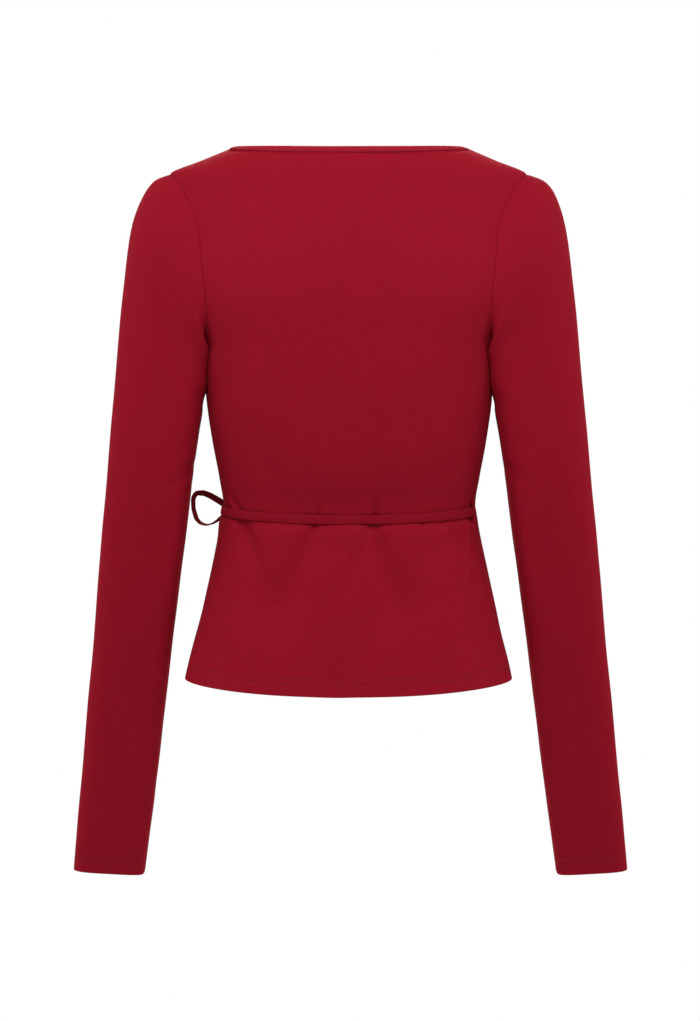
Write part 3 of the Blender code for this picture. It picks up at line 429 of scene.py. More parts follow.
RIGHT_BEHIND = (
    (0, 2, 0, 10, 11, ((174, -100), (166, -155), (164, -215), (166, -256))),
    (-0.6, -0.7, 0, 2.2, 3.4, ((145, -278), (147.6, -289), (151.2, -297))),
    (0.9, 1.2, 0, 3.6, 7.6, ((147.4, -297.5), (155, -308), (165, -313), (175, -314))),
    (0, 1, 0, 9, 13, ((166, -320), (172, -360), (180, -430))),
    (0, 0.7, 0, 8, 10, ((190, -490), (199, -550), (208, -600))),
    (0, 0.6, 0, 6, 8, ((146, -130), (150, -170), (148, -205))),
)
RIGHT_BEFORE = (
    (1.2, 1.6, 0, 3.6, 8, ((149, -302), (162, -312), (180, -312), (192, -307))),
    (1, 1.3, 0, 3.4, 7, ((148, -284), (160, -288), (176, -283))),
    (0, 1.1, 0, 4, 7, ((225, -296), (209, -306), (192, -334))),
    (0, 1, 0, 9, 11, ((174, -110), (169, -180), (168, -245))),
    (1, 0.9, 0, 4, 8, ((142, -204), (153, -190), (162, -162))),
    (0, 1, 0, 8, 11, ((178, -370), (186, -450), (197, -530))),
)
# Columns: name, node, side, swing, swell of the head, creases behind and before.
SLEEVES = (
    ("sleeve_left_cloth", "sleeve_left", 1.0, SWING_LEFT, -HEAD_SWELL, LEFT_BEHIND, LEFT_BEFORE),
    ("sleeve_right_cloth", "sleeve_right", -1.0, SWING_RIGHT, HEAD_SWELL, RIGHT_BEHIND, RIGHT_BEFORE),
)

JERSEY_RED = (0.262, 0.0056, 0.0164, 1.0)
BINDING_RED = (0.300, 0.0100, 0.0230, 1.0)
TIE_RED = (0.226, 0.0048, 0.0145, 1.0)
# The standing-out loop's red is the tie's red made darker: painted shade, because that loop faces away
# from the light.
LOOP_SHADE_RED = (0.190, 0.0042, 0.0120, 1.0)
THREAD_RED = (0.200, 0.0050, 0.0140, 1.0)
SHEEN_RED = (0.90, 0.030, 0.060, 1.0)
WALE = 0.0011  # width of one column of knit stitches
COURSE = 0.0009  # height of one row
STREAKS = (120.0, 620.0, 1.0)  # how fine the streaks are, along and across their run
CLOUDS = 38.0  # how fine the mottling, the nap and the plies of the thread are
NAP = 2600.0
PLIES = 2400.0
V_SLOPE = 1.1  # how steep the two legs of a stitch are

CAMERA_PLACE = (-0.0014, 3.5, -0.1428)
CAMERA_AIM = (-0.0014, 0.0, -0.3408)
CAMERA_LENS = 131.5
FLOOR_LEVEL = -1.30
FLOOR_RADIUS = 1.3
FLOOR_SIDES = 96
FLOOR_GREY = (0.66, 0.66, 0.66, 1.0)
SKY_LEVEL = 0.44
LIGHT_AIM = (0.0, 0.0, -0.30)
# Columns: name, place, size, power.
LIGHTS = (
    ("high_behind", (0.0, 1.0, 1.2), (1.6, 0.8), 9.0),
    ("near_behind", (0.0, 1.1, 0.5), (1.2, 0.6), 8.5),
    ("near_before", (0.0, -1.1, 0.5), (1.2, 0.6), 8.5),
    ("side_behind", (2.4, 0.5, 0.2), (1.4, 1.4), 10.0),
    ("side_before", (-2.4, -0.5, 0.2), (1.4, 1.4), 10.0),
    ("side_behind_right", (-2.4, 0.5, 0.2), (1.4, 1.4), 10.0),
    ("side_before_left", (2.4, -0.5, 0.2), (1.4, 1.4), 10.0),
)


# ---- reading the tables

def smooth_through(keys, values, at):
    """Read values at the keys `at` on a smooth curve that never overshoots its points."""
    steps = np.diff(keys)
    slopes = np.diff(values) / steps
    same_way = slopes[:-1] * slopes[1:] > 0.0
    before = np.where(same_way, slopes[:-1], 1.0)
    after = np.where(same_way, slopes[1:], 1.0)
    weight_before = 2.0 * steps[1:] + steps[:-1]
    weight_after = steps[1:] + 2.0 * steps[:-1]
    middle = (weight_before + weight_after) / (weight_before / before + weight_after / after)
    tangents = np.concatenate((slopes[:1], np.where(same_way, middle, 0.0), slopes[-1:]))
    at = np.clip(np.asarray(at, dtype=float), keys[0], keys[-1])
    row = np.clip(np.searchsorted(keys, at) - 1, 0, len(steps) - 1)
    part = (at - keys[row]) / steps[row]
    rise = values[row + 1] - values[row]
    bend_in = tangents[row] * steps[row] - rise
    bend_out = rise - tangents[row + 1] * steps[row]
    return values[row] + part * rise + part * (1.0 - part) * (bend_in * (1.0 - part) + bend_out * part)


def smooth_columns(keys, table, at):
    """Read every column of a table on a smooth curve."""
    return np.stack([smooth_through(keys, column, at) for column in table.T], axis=-1)


def straight_columns(keys, table, at):
    """Read every column of a table on straight lines from row to row."""
    return np.stack([np.interp(at, keys, column) for column in table.T], axis=-1)


def at_level(table, names, name, level):
    """Read one column of a table whose first column falls from row to row."""
    columns = table[::-1]
    return smooth_through(columns[:, 0], columns[:, names.index(name)], level)


def torso(name, level):
    """Read one column of the worn body's table."""
    return at_level(TORSO, TORSO_COLUMNS, name, level)


def side_angle(level):
    """Angle of the side seam at a level, on the wearer's left."""
    return at_level(SIDE_SEAM, SIDE_SEAM_COLUMNS, "angle", level)


def ease(share):
    """A soft step from 0 to 1."""
    share = np.clip(share, 0.0, 1.0)
    return share * share * (3.0 - 2.0 * share)


def ramp(value, start, full):
    """A soft step from 0 at `start` to 1 at `full`, which may be the lower of the two."""
    return ease((value - start) / (full - start))


def bump(distance, half_width):
    """1 at no distance, falling softly to 0."""
    return np.exp(-(distance / half_width) ** 2)


def powered(values, power):
    """Values raised to a power, with their signs kept."""
    return np.sign(values) * np.abs(values) ** power


def unit(vectors):
    """Vectors scaled to a length of 1."""
    return vectors / np.maximum(np.linalg.norm(vectors, axis=-1, keepdims=True), 1e-12)


def full_turn(sides):
    """Angles in radians that go once round, in even steps."""
    return np.linspace(0.0, 2.0 * math.pi, sides, endpoint=False)


# ---- the worn body

def torso_half(level, in_front):
    """How far the front or the back of the body reaches at a level, and how square it is."""
    reach = np.where(in_front, torso("front", level), torso("back", level))
    return reach, np.where(in_front, torso("front_power", level), torso("back_power", level))


def figure(angle, level):
    """Points on the outside of the worn body."""
    angle, level = np.broadcast_arrays(np.asarray(angle, float), np.asarray(level, float))
    across = np.sin(np.radians(angle))
    ahead = np.cos(np.radians(angle))
    reach, power = torso_half(level, ahead > 0.0)
    x = torso("half_width", level) * powered(across, 2.0 / power)
    y = -reach * powered(ahead, 2.0 / power)
    aside = (np.abs(x) - BUST_SIDE) / BUST_SPREAD_ACROSS
    down = (level - BUST_LEVEL) / BUST_SPREAD_DOWN
    rise = BUST_RISE * np.exp(-0.5 * (aside ** 2 + down ** 2)) * ramp(ahead, 0.0, 0.5)
    sway = WAIST_SWAY * ramp(level, *SWAY_IN) * ramp(level, *SWAY_OUT)
    return np.stack((x + sway, y - rise, level), axis=-1)


def slopes_of(angle, level, rise=0.0008):
    """How a point of the worn body moves with its angle, and with its level."""
    turn = 0.4
    by_angle = figure(angle + turn, level) - figure(angle - turn, level)
    by_level = figure(angle, level + rise) - figure(angle, level - rise)
    return by_angle / (2.0 * turn), by_level / (2.0 * rise)


def outward(angle, level):
    """Unit vectors pointing out of the worn body."""
    return unit(np.cross(*slopes_of(angle, level)))


def above(angle, level, lift):
    """Points that lie `lift` above the worn body."""
    return figure(angle, level) + outward(angle, level) * np.asarray(lift)[..., None]


def outer_lift(angle):
    """The outer front rises across the inner one, from nothing at its own side seam."""
    return LAYER_STEP * ramp(angle, *LAYER_RISE)


def inner_lift(angle):
    """The inner front lies one layer under the outer one."""
    return outer_lift(angle) - LAYER_STEP


def hem_level(angle):
    """Level of the hem round the body."""
    ahead = np.cos(np.radians(angle))
    return HEM_SIDE - np.where(ahead > 0.0, HEM_DIP_FRONT, HEM_DIP_BACK) * ahead ** 2


def tie_level(angle):
    """Level of the middle of the tie round the body."""
    behind = np.maximum(-np.cos(np.radians(angle)), 0.0)
    return TIE_SIDE - TIE_DIP_BACK * behind ** TIE_DIP_POWER


# ---- lines on the body

def lengths_along(points, axis=0):
    """How far each point of a line or a grid lies along its lines."""
    steps = np.linalg.norm(np.diff(points, axis=axis), axis=-1)
    return np.concatenate((np.zeros_like(steps.take([0], axis)), np.cumsum(steps, axis)), axis)


def along(line, shares):
    """Read a line of (angle, level) pairs at shares of its length on the body."""
    run = lengths_along(figure(line[:, 0], line[:, 1]))
    return straight_columns(run, line, np.asarray(shares) * run[-1])


def joined(lines, knots, shares):
    """Points at shares of lines laid end to end, each of them between two knots."""
    points = np.empty((len(shares), 2))
    for line, first, last in zip(lines, knots[:-1], knots[1:]):
        here = (shares >= first) & (shares <= last)
        points[here] = along(line, (shares[here] - first) / (last - first))
    return points


def beside(line, distance):
    """Move a line of (angle, level) pairs along the body, to the right of the way it runs."""
    axes = np.stack(slopes_of(*line.T, rise=0.0006), axis=-1)
    way = np.sum(axes * np.gradient(line, axis=0)[:, None, :], axis=-1)
    steps = unit(np.cross(way, outward(*line.T))) * distance
    return line + [np.linalg.lstsq(pair, step, rcond=None)[0] for pair, step in zip(axes, steps)]


def armhole_line(behind):
    """The armhole seam on the wearer's left, from the shoulder tip to the underarm."""
    blend = 0.5 - 0.5 * np.cos(math.pi * np.linspace(0.0, 1.0, CURVE_SAMPLES))
    level = SHOULDER_TIP + (UNDERARM - SHOULDER_TIP) * blend
    share = at_level(ARMHOLE, ARMHOLE_COLUMNS, "back_share" if behind else "front_share", level)
    power = torso("back_power" if behind else "front_power", level)
    angle = np.degrees(np.arcsin(np.clip(share, 0.0, 1.0) ** (power / 2.0)))
    return np.stack((180.0 - angle if behind else angle, level), axis=1)


def degrees_for(distance, angle, level):
    """How many degrees round the body a short distance takes."""
    span = np.linalg.norm(figure(angle + 0.5, level) - figure(angle - 0.5, level), axis=-1)
    return distance / span


def side_seams():
    """The side seam above and below the top of the slit, on the wearer's left."""
    upper, lower = [np.stack((side_angle(level), level), axis=1)
                    for level in (np.linspace(UNDERARM, SLIT_TOP, CURVE_SAMPLES),
                                  np.linspace(SLIT_TOP, HEM_SIDE, CURVE_SAMPLES))]
    share = (lower[:, 1] - SLIT_TOP) / (HEM_SIDE - SLIT_TOP)
    lower[:, 1] += (hem_level(lower[-1, 0]) - HEM_SIDE) * share
    return upper, lower


def slit_degrees(angle, level):
    """How far the slit draws the edge of a panel back from the side seam."""
    share = np.clip((SLIT_REACH - np.abs(level - TIE_SIDE)) / SLIT_TAPER, 0.0, 1.0)
    return share * degrees_for(SLIT_HALF_WIDTH, angle, level)


def front_neckline(which):
    """Top edge of a front, from the side of the neck down to its corner."""
    level = NECKLINE[-1][0] * np.linspace(0.0, 1.0, CURVE_SAMPLES) ** NECKLINE_PACE
    return np.stack((at_level(NECKLINE, NECKLINE_COLUMNS, which, level), level), axis=1)


def neck_loop():
    """The whole neckline, from the outer front's corner round the back to the inner corner."""
    outer = front_neckline("outer_angle")[::-1]
    angle = np.linspace(270.0, 90.0, CURVE_SAMPLES)
    back = np.stack((angle - 360.0, -NECK_DIP * np.cos(np.radians(angle)) ** 2), axis=1)
    inner = front_neckline("inner_angle") * (-1.0, 1.0) - (360.0, 0.0)
    return np.concatenate((outer, back[1:], inner[1:]))


def neck_lift(angle):
    """Height of the neckline over the body along the whole loop."""
    inner = inner_lift(angle + 360.0)
    return np.where(angle > -90.0, outer_lift(angle), np.where(angle < -270.0, inner, 0.0))


def neck_cut():
    """The cloth's edge in the binding: along the outer front, the back and the inner front."""
    cut = beside(neck_loop(), NECK_TUCK - BINDING_WIDTH)
    cut = cut[np.argsort(-cut[:, 0])]
    right_neck, left_neck = [int(np.argmin(np.abs(cut[:, 0] - angle))) for angle in (-90.0, -270.0)]
    cut[right_neck, 0] = -90.0
    cut[left_neck, 0] = -270.0
    return cut[:right_neck + 1], cut[right_neck:left_neck + 1], cut[left_neck:]


# ---- laying out a panel

def section_runs(level, base):
    """Angles round the body, and how far along its section at each level each of them lies."""
    angles = base + np.arange(-SECTION_REACH, SECTION_REACH + 1.0)
    runs = lengths_along(figure(angles[None, :], level[:, None]), axis=1)
    return angles, runs - runs[:, SECTION_REACH:SECTION_REACH + 1]


def flattened(line, base):
    """Turn (angle, level) pairs into (distance round the body from `base`, level) pairs."""
    angles, runs = section_runs(line[:, 1], base)
    flat = [np.interp(angle, angles, run) for angle, run in zip(line[:, 0], runs)]
    return np.stack((np.array(flat), line[:, 1]), axis=1)


def wrapped(field, base):
    """Turn (distance round the body, level) pairs back into (angle, level) pairs."""
    angles, runs = section_runs(WRAP_LEVELS, base)
    table = np.array([np.interp(WRAP_REACHES, run, angles) for run in runs])
    place, row = [np.clip((field[..., axis] - marks[0]) / (marks[1] - marks[0]), 0.0, len(marks) - 1.001)
                  for axis, marks in enumerate((WRAP_REACHES, WRAP_LEVELS))]
    first_place = place.astype(int)
    first_row = row.astype(int)
    part = place - first_place
    first, second = [table[line, first_place] * (1.0 - part) + table[line, first_place + 1] * part
                     for line in (first_row, first_row + 1)]
    part = row - first_row
    return np.stack((first * (1.0 - part) + second * part, field[..., 1]), axis=-1)


def armhole_turn(across, down):
    """How far the rows of a panel drop as they leave the bottom of its left armhole."""
    leaving = (1.0 - np.exp(-across / TURN_REACH)) * ramp(across, *TURN_FADE)
    near = ramp(down, TURN_START, ROW_KNOTS[1]) * ramp(down, TURN_END, ROW_KNOTS[1])
    return TURN_DROP * leaving[None, :] * near[:, None]


def fill_between(edges, across, down, base, armholes=1):
    """Spread rows and columns of (distance, level) pairs between four edges, as on flat cloth."""
    drop = armhole_turn(across, down)
    if armholes == 2:
        drop = drop + armhole_turn(1.0 - across, down)
    top, bottom, left, right = [flattened(edge, base) for edge in edges]
    from_top = np.clip(1.0 - down / ROW_KNOTS[1], 0.0, 1.0)[:, None, None] ** 2
    across = across[None, :, None]
    rows = left[:, None, :] * (1.0 - across) + right[:, None, :] * across
    top, bottom = [edge - (edge[0] * (1.0 - across) + edge[-1] * across) for edge in (top, bottom)]
    field = rows + top * from_top + bottom * down[:, None, None]
    field[..., 1] -= drop
    return field


def stations(length, step, knots, near_start, near_end):
    """Shares from 0 to 1 of a length, at most a step apart, through knots and near both ends."""
    fixed = sorted({0.0, 1.0, *knots, *(distance / length for distance in near_start),
                    *(1.0 - distance / length for distance in near_end)})
    shares = []
    for first, last in zip(fixed[:-1], fixed[1:]):
        count = max(1, math.ceil((last - first) * length / step))
        shares.extend(first + (last - first) * np.arange(count) / count)
    return np.array(shares + [1.0])


def rows_near_lines(lines):
    """Distances from a hem at which the mesh has rows, so that its stitch lines are crisp."""
    return sorted({*EDGE_ROWS, *(line + step for line in lines for step in LINE_ROWS)})


# ---- shaping the cloth

def crease_depth(x, z, creases):
    """How far creases press the cloth in at points seen from behind or in front."""
    total = np.zeros(x.shape)
    for *sizes, points in creases:
        at_start, at_middle, at_end, start_width, end_width = np.array(sizes) / 1000.0
        points = metres(points)
        run = lengths_along(points)
        path = smooth_columns(run, points, np.linspace(0.0, run[-1], CREASE_SAMPLES))
        reach = max(start_width, end_width) * CREASE_REACH
        low = path.min(axis=0) - reach
        high = path.max(axis=0) + reach
        near = (x > low[0]) & (x < high[0]) & (z > low[1]) & (z < high[1])
        if not near.any():
            continue
        spots = np.stack((x[near], z[near]), axis=1)
        nearest = np.full(len(spots), 1e9)
        share = np.zeros(len(spots))
        for index, (start, end) in enumerate(zip(path[:-1], path[1:])):
            step = end - start
            part = np.clip((spots - start) @ step / (step @ step), 0.0, 1.0)
            away = np.linalg.norm(spots - start - part[:, None] * step, axis=1)
            closer = away < nearest
            nearest = np.where(closer, away, nearest)
            share = np.where(closer, (index + part) / (len(path) - 1), share)
        depth = np.interp(share, (0.0, 0.5, 1.0), (at_start, at_middle, at_end))
        spread = nearest / (start_width + (end_width - start_width) * share)
        total[near] += depth * np.exp(-spread ** 2) * (1.0 - CREASE_SIDES * spread ** 2)
    return total


def hollow_depth(points):
    """How far the broad hollows press the back inwards at each point."""
    depth = np.zeros(points.shape[:-1])
    for side, level, deep, half_width, half_height in BACK_HOLLOWS:
        aside = (points[..., 0] - side) / half_width
        down = (points[..., 2] - level) / half_height
        depth += deep * np.exp(-0.5 * (aside ** 2 + down ** 2))
    return depth * (points[..., 1] > 0.0)


def tie_press(level, middle):
    """The tie pulls a channel round the waist, and the cloth swells a little below it."""
    away = level - middle
    swell = TIE_SWELL * bump(away + TIE_SWELL_DROP, TIE_SWELL_HALF)
    return swell - TIE_SINK * bump(away, TIE_SINK_HALF)


def seam_roll(distance):
    """The cloth rolls in at a seam, and the seam allowance lifts it a little beside that."""
    ridge = SEAM_RIDGE * bump(distance - SEAM_RIDGE_AT, SEAM_RIDGE_HALF)
    return ridge - SEAM_SINK * bump(distance, SEAM_ROLL)


def seam_fade(level):
    """The armhole's groove is clear at the shoulder and shallow lower down, the side seam's less so."""
    upper = (1.0 - SEAM_LEAST) * ramp(level, *SEAM_CLEARER)
    return SEAM_LEAST + upper + SIDE_CLEARER * ramp(level, *SIDE_FROM)


def stitched(distance, lines, run):
    """Rows of stitches pull the cloth in, a little unevenly along their run."""
    uneven = 1.0 + LINE_UNEVEN * np.sin(run / 0.0021) * np.sin(run / 0.0137 + 0.7)
    return -sum(LINE_SINK * bump(distance - line, LINE_HALF) for line in lines) * uneven


def slack(x, z):
    """Very slight unevenness of worn cloth."""
    fine = np.sin(x / 0.0105 + 1.3 * np.sin(z / 0.041)) * np.sin(z / 0.017 + 0.8)
    broad = np.sin(x / 0.0230 - z / 0.061) * np.sin(z / 0.033 + 2.1)
    return SLACK_FINE * fine + SLACK_BROAD * broad


def squareness(edge, inward):
    """Sine of the angle at which the lines of a grid leave its edge."""
    return np.linalg.norm(np.cross(unit(np.gradient(edge, axis=0)), unit(inward)), axis=-1)


def edge_distances(points):
    """How far each point of a grid lies from its top, bottom, left and right edges."""
    found = []
    for grid in (points, points.transpose(1, 0, 2)):
        run = lengths_along(grid)
        found.append(run * squareness(grid[0], grid[2] - grid[0]))
        found.append((run[-1] - run) * squareness(grid[-1], grid[-3] - grid[-1]))
    return found[0], found[1], found[2].T, found[3].T


def neck_tuck(distance):
    """1 where the cloth lies between the folds of the binding, 0 beyond it."""
    return ramp(distance, *NECK_TUCK_EDGE)


def neck_sink(distance):
    """How deep the cloth lies in the binding and in the groove along it."""
    groove = NECK_GROOVE * bump(distance - NECK_GROOVE_AT, NECK_GROOVE_HALF)
    return NECK_SINK * neck_tuck(distance) + groove


def walls(surface, way, free, seam, tuck=0.0):
    """Outside and inside of the cloth.

    `free` is the way to its nearest free edge, where it is rounded, and `seam` the way to its
    nearest seam, where its allowance turns in. The cloth is thinner where it is tucked away.
    """
    share = np.sqrt(np.clip(1.0 - (1.0 - np.clip(free / RIM, 0.0, 1.0)) ** 2, RIM_LEAST, 1.0))
    wall = WALL * (1.0 - WALL_TUCKED * np.broadcast_to(tuck, share.shape))
    deeper = ALLOWANCE * bump(np.maximum(seam - ALLOWANCE_FROM, 0.0), ALLOWANCE_HALF)
    outside = surface - way * (wall * (1.0 - share) / 2.0)[..., None]
    inside = surface - way * (wall * (1.0 + share) / 2.0 + deeper)[..., None]
    return outside, inside


# ---- making meshes

def add_object(name, data):
    """Put a new object in the scene."""
    thing = bpy.data.objects.new(name, data)
    bpy.context.collection.objects.link(thing)
    return thing


def mend_mesh(mesh, fill=False):
    """Turn a mesh's faces outwards and shade it smooth, with its open ends filled if wanted."""
    builder = bmesh.new()
    builder.from_mesh(mesh)
    if fill:
        bmesh.ops.holes_fill(builder, edges=[edge for edge in builder.edges if edge.is_boundary])
    bmesh.ops.recalc_face_normals(builder, faces=builder.faces)
    builder.to_mesh(mesh)
    builder.free()
    mesh.shade_smooth()


def new_mesh(name, vertices, faces, material, flat=None):
    """A mesh of points and faces, with its flat coordinates laid out as UVs in metres."""
    mesh = bpy.data.meshes.new(name)
    mesh.from_pydata(vertices.reshape(-1, 3).tolist(), [], faces.tolist())
    mend_mesh(mesh)
    if flat is not None:
        corners = np.empty(len(mesh.loops), dtype=np.int64)
        mesh.loops.foreach_get("vertex_index", corners)
        layer = mesh.uv_layers.new(name="cloth")
        layer.data.foreach_set("uv", flat.reshape(-1, 2)[corners].astype(np.float32).ravel())
    mesh.materials.append(material)
    return mesh


def place_piece(mesh, slot, *nodes):
    """Put a mesh in the scene as a piece of the top, which stands for nodes of the model."""
    piece = add_object(mesh.name, mesh)
    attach(piece, "root")
    if nodes:
        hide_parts(*nodes)
    return piece


def grid_faces(rows, columns, closed):
    """Corner indices of the faces of one grid."""
    row = np.arange(rows - 1)[:, None] * columns
    place = np.arange(columns if closed else columns - 1)[None, :]
    after = (place + 1) % columns
    corners = (row + place, row + after, row + columns + after, row + columns + place)
    return np.stack(corners, axis=-1).reshape(-1, 4)


def cloth_mesh(name, outside, inside, flat, material, closed=False):
    """A thin wall between two grids; a closed one joins its last column to its first."""
    rows, columns = outside.shape[:2]
    size = rows * columns
    front = grid_faces(rows, columns, closed)
    place = np.arange(columns if closed else columns - 1)
    after = (place + 1) % columns
    rims = [(start + place, start + after) for start in (0, size - columns)]
    if not closed:
        start = np.arange(rows - 1) * columns
        rims += [(start + place, start + columns + place) for place in (0, columns - 1)]
    faces = [front, front[:, ::-1] + size]
    faces += [np.stack((one, two, size + two, size + one), axis=1) for one, two in rims]
    vertices = np.stack((outside, inside))
    return new_mesh(name, vertices, np.concatenate(faces), material, np.stack((flat, flat)))


def sew(mesh, node, stitch_name, lines, thread, cut):
    """Place a piece of jersey and its stitches; the size of cloth it was cut from is worked out but not
    used.
    """
    piece = place_piece(mesh, "jersey", node)
    sewn = stitches(stitch_name, lines, thread, "jersey")
    width, length = [float(lengths_along(cut, axis).max()) for axis in (1, 0)]


def ribbon_section(width, thickness):
    """Outline of a flat sewn tube: full in the middle, with a fine roll along each edge."""
    turn = full_turn(RIBBON_SIDES)
    across = powered(np.cos(turn), RIBBON_POWER)
    groove, place, half = RIBBON_GROOVE
    deep = powered(np.sin(turn), RIBBON_POWER) * (1.0 - groove * bump(np.abs(across) - place, half))
    return np.stack((across * width / 2.0, deep * thickness / 2.0), axis=1)


def ribbon(name, path, wide, out, width, thickness, material, slot, node, crinkle):
    """A flat sewn tube along a path, with closed ends, that stands for a tie's solid."""
    run = lengths_along(path)
    section = ribbon_section(width, thickness)
    wave = np.sin(run / 0.0016 + 2.0 * np.sin(run / 0.011)) * np.sin(run / 0.0073 + 0.4)
    scale = 1.0 + RIBBON_UNEVEN * np.sin(run / 0.013 + 0.5)
    aside = section[:, :1] * scale[:, None, None]
    proud = section[:, 1:] + crinkle * wave[:, None, None] * np.sign(section[:, 1:])
    rows = path[:, None, :] + wide[:, None, :] * aside + out[:, None, :] * proud
    ends = []
    for last, inner in ((0, 1), (-1, -2)):
        middle = rows[last].mean(axis=0)
        way = unit(path[last] - path[inner])
        ends.append([middle + (rows[last] - middle) * share + way * far for share, far in RIBBON_ENDS])
    rows = np.concatenate((ends[0], rows, ends[1][::-1]))
    flat = np.stack(np.meshgrid(lengths_along(section), np.pad(run, 2, mode="edge")), axis=-1)
    mesh = new_mesh(name, rows, grid_faces(len(rows), RIBBON_SIDES, True), material, flat)
    mend_mesh(mesh, fill=True)
    piece = place_piece(mesh, slot, node)
    half_round = lengths_along(np.concatenate((section, section[:1])))[-1] / 2.0


def tie_ribbon(name, path, wide, out, material, node):
    """A flat sewn tube of the tie's own size."""
    ribbon(name, path, wide, out, TIE_WIDTH, TIE_THICKNESS, material, "tie", node, TIE_CRINKLE)


def stitches(name, lines, material, slot):
    """Short thread stitches along lines of (points, ways out of the cloth)."""
    turn = full_turn(STITCH_SIDES)[:, None]
    aside = np.cos(turn) * STITCH_WIDTHS[:, None, None]
    proud = np.sin(turn) * STITCH_WIDTHS[:, None, None]
    rows = len(STITCH_WIDTHS)
    tubes = []
    for points, ways in lines:
        run = lengths_along(points)
        starts = np.arange(STITCH_GAP, run[-1] - STITCH, STITCH + STITCH_GAP)
        places = starts[:, None] + np.linspace(0.0, STITCH, rows)
        spots = straight_columns(run, points, places)
        out = unit(straight_columns(run, ways, places))
        side = unit(np.cross(unit(spots[:, -1:] - spots[:, :1]), out))
        centre = spots + out * STITCH_HEIGHTS[:, None]
        tubes.append(centre[:, :, None] + side[:, :, None] * aside + out[:, :, None] * proud)
    tubes = np.concatenate(tubes)
    starts = np.arange(len(tubes)) * (rows * STITCH_SIDES)
    faces = grid_faces(rows, STITCH_SIDES, True) + starts[:, None, None]
    return place_piece(new_mesh(name, tubes, faces.reshape(-1, 4), material), slot)


def lines_on(grid, ways, distance, wanted):
    """Lines on a grid whose columns pass each wanted distance from the last row."""
    columns = np.concatenate((grid, ways), axis=-1)[::-1].transpose(1, 0, 2)
    lines = []
    for line in wanted:
        crossed = [straight_columns(run, column, line) for run, column in zip(distance[::-1].T, columns)]
        points, outs = np.split(np.array(crossed), 2, axis=1)
        lines.append((points, unit(outs)))
    return lines


# ---- body panels

def panel_rows():
    """Shares down a panel at which its mesh has rows."""
    knee = ROW_KNOTS[2]
    at_slit = [knee + (1.0 - knee) * (SLIT_REACH - drop) / (SLIT_TOP - HEM_SIDE) for drop in SLIT_ROWS]
    knots = (*ROW_KNOTS, *(share for share in at_slit if share > knee))
    return stations(SIDE_LENGTH, ROW_STEP, knots, EDGE_ROWS, rows_near_lines(HEM_LINES))


def side_edge(behind, opened, rows):
    """Side edge of a panel on the wearer's left, with the slit in it if opened."""
    edge = joined((armhole_line(behind), *side_seams()), ROW_KNOTS, rows)
    if opened:
        edge[:, 0] += (1.0 if behind else -1.0) * slit_degrees(edge[:, 0], edge[:, 1])
    return edge


def hem_edge(left, right, across):
    """The hem between the ends of two side edges."""
    angle = np.linspace(left[-1, 0], right[-1, 0], CURVE_SAMPLES)
    return along(np.stack((angle, hem_level(angle)), axis=1), across)


def back_field(rows):
    """The back, as (distance, level) pairs, and the shares across it."""
    knots = (SHOULDER_KNOT, 1.0 - SHOULDER_KNOT)
    across = stations(BACK_WIDTH, COLUMN_STEP, knots, EDGE_ROWS, EDGE_ROWS)
    neck = neck_cut()[1][::-1] + (360.0, 0.0)
    shoulder = np.linspace((90.0, SHOULDER_TIP), neck[0], 20)
    far_shoulder = np.linspace(neck[-1], (270.0, SHOULDER_TIP), 20)
    top = joined((shoulder, neck, far_shoulder), (0.0, *knots, 1.0), across)
    left = side_edge(True, False, rows)
    right = side_edge(True, True, rows) * (-1.0, 1.0) + (360.0, 0.0)
    edges = (top, hem_edge(left, right, across), left, right)
    return fill_between(edges, across, rows, 180.0, armholes=2), across


def front_field(outer, rows):
    """A front, as (distance, level) pairs, laid out as the outer one."""
    across = stations(FRONT_WIDTH, COLUMN_STEP, (), EDGE_ROWS, EDGE_ROWS)
    cuts = neck_cut()
    neck = cuts[0][::-1] if outer else (cuts[2] + (360.0, 0.0)) * (-1.0, 1.0)
    top = along(np.linspace((-90.0, SHOULDER_TIP), neck[0], 20), across)
    left = side_edge(False, outer, rows) * (-1.0, 1.0)
    turn = int(np.argmin(np.abs(neck[:, 1] - UNDERARM)))
    angle, level = neck[-1]
    share = np.linspace(0.0, 1.0, CURVE_SAMPLES)
    free = np.stack((angle - FREE_EDGE_TURN * ease(share), level + (HEM_SIDE - level) * share), axis=1)
    free[:, 1] += (hem_level(free[-1, 0]) - HEM_SIDE) * share
    right = joined((neck[:turn + 1], neck[turn:], free), ROW_KNOTS, rows)
    return fill_between((top, hem_edge(left, right, across), left, right), across, rows, 0.0)


def panel_surface(angle, level, lift, creases, facing):
    """A panel's outside before its edges are worked, and the ways out of it."""
    way = outward(angle, level)
    points = figure(angle, level)
    x, z = points[..., 0], points[..., 2]
    pressing = crease_depth(x, z, creases) * ramp(way[..., 1] * facing, *CREASED_SIDE)
    rise = lift - hollow_depth(points) - pressing + slack(x, z)
    return points + way * rise[..., None], way


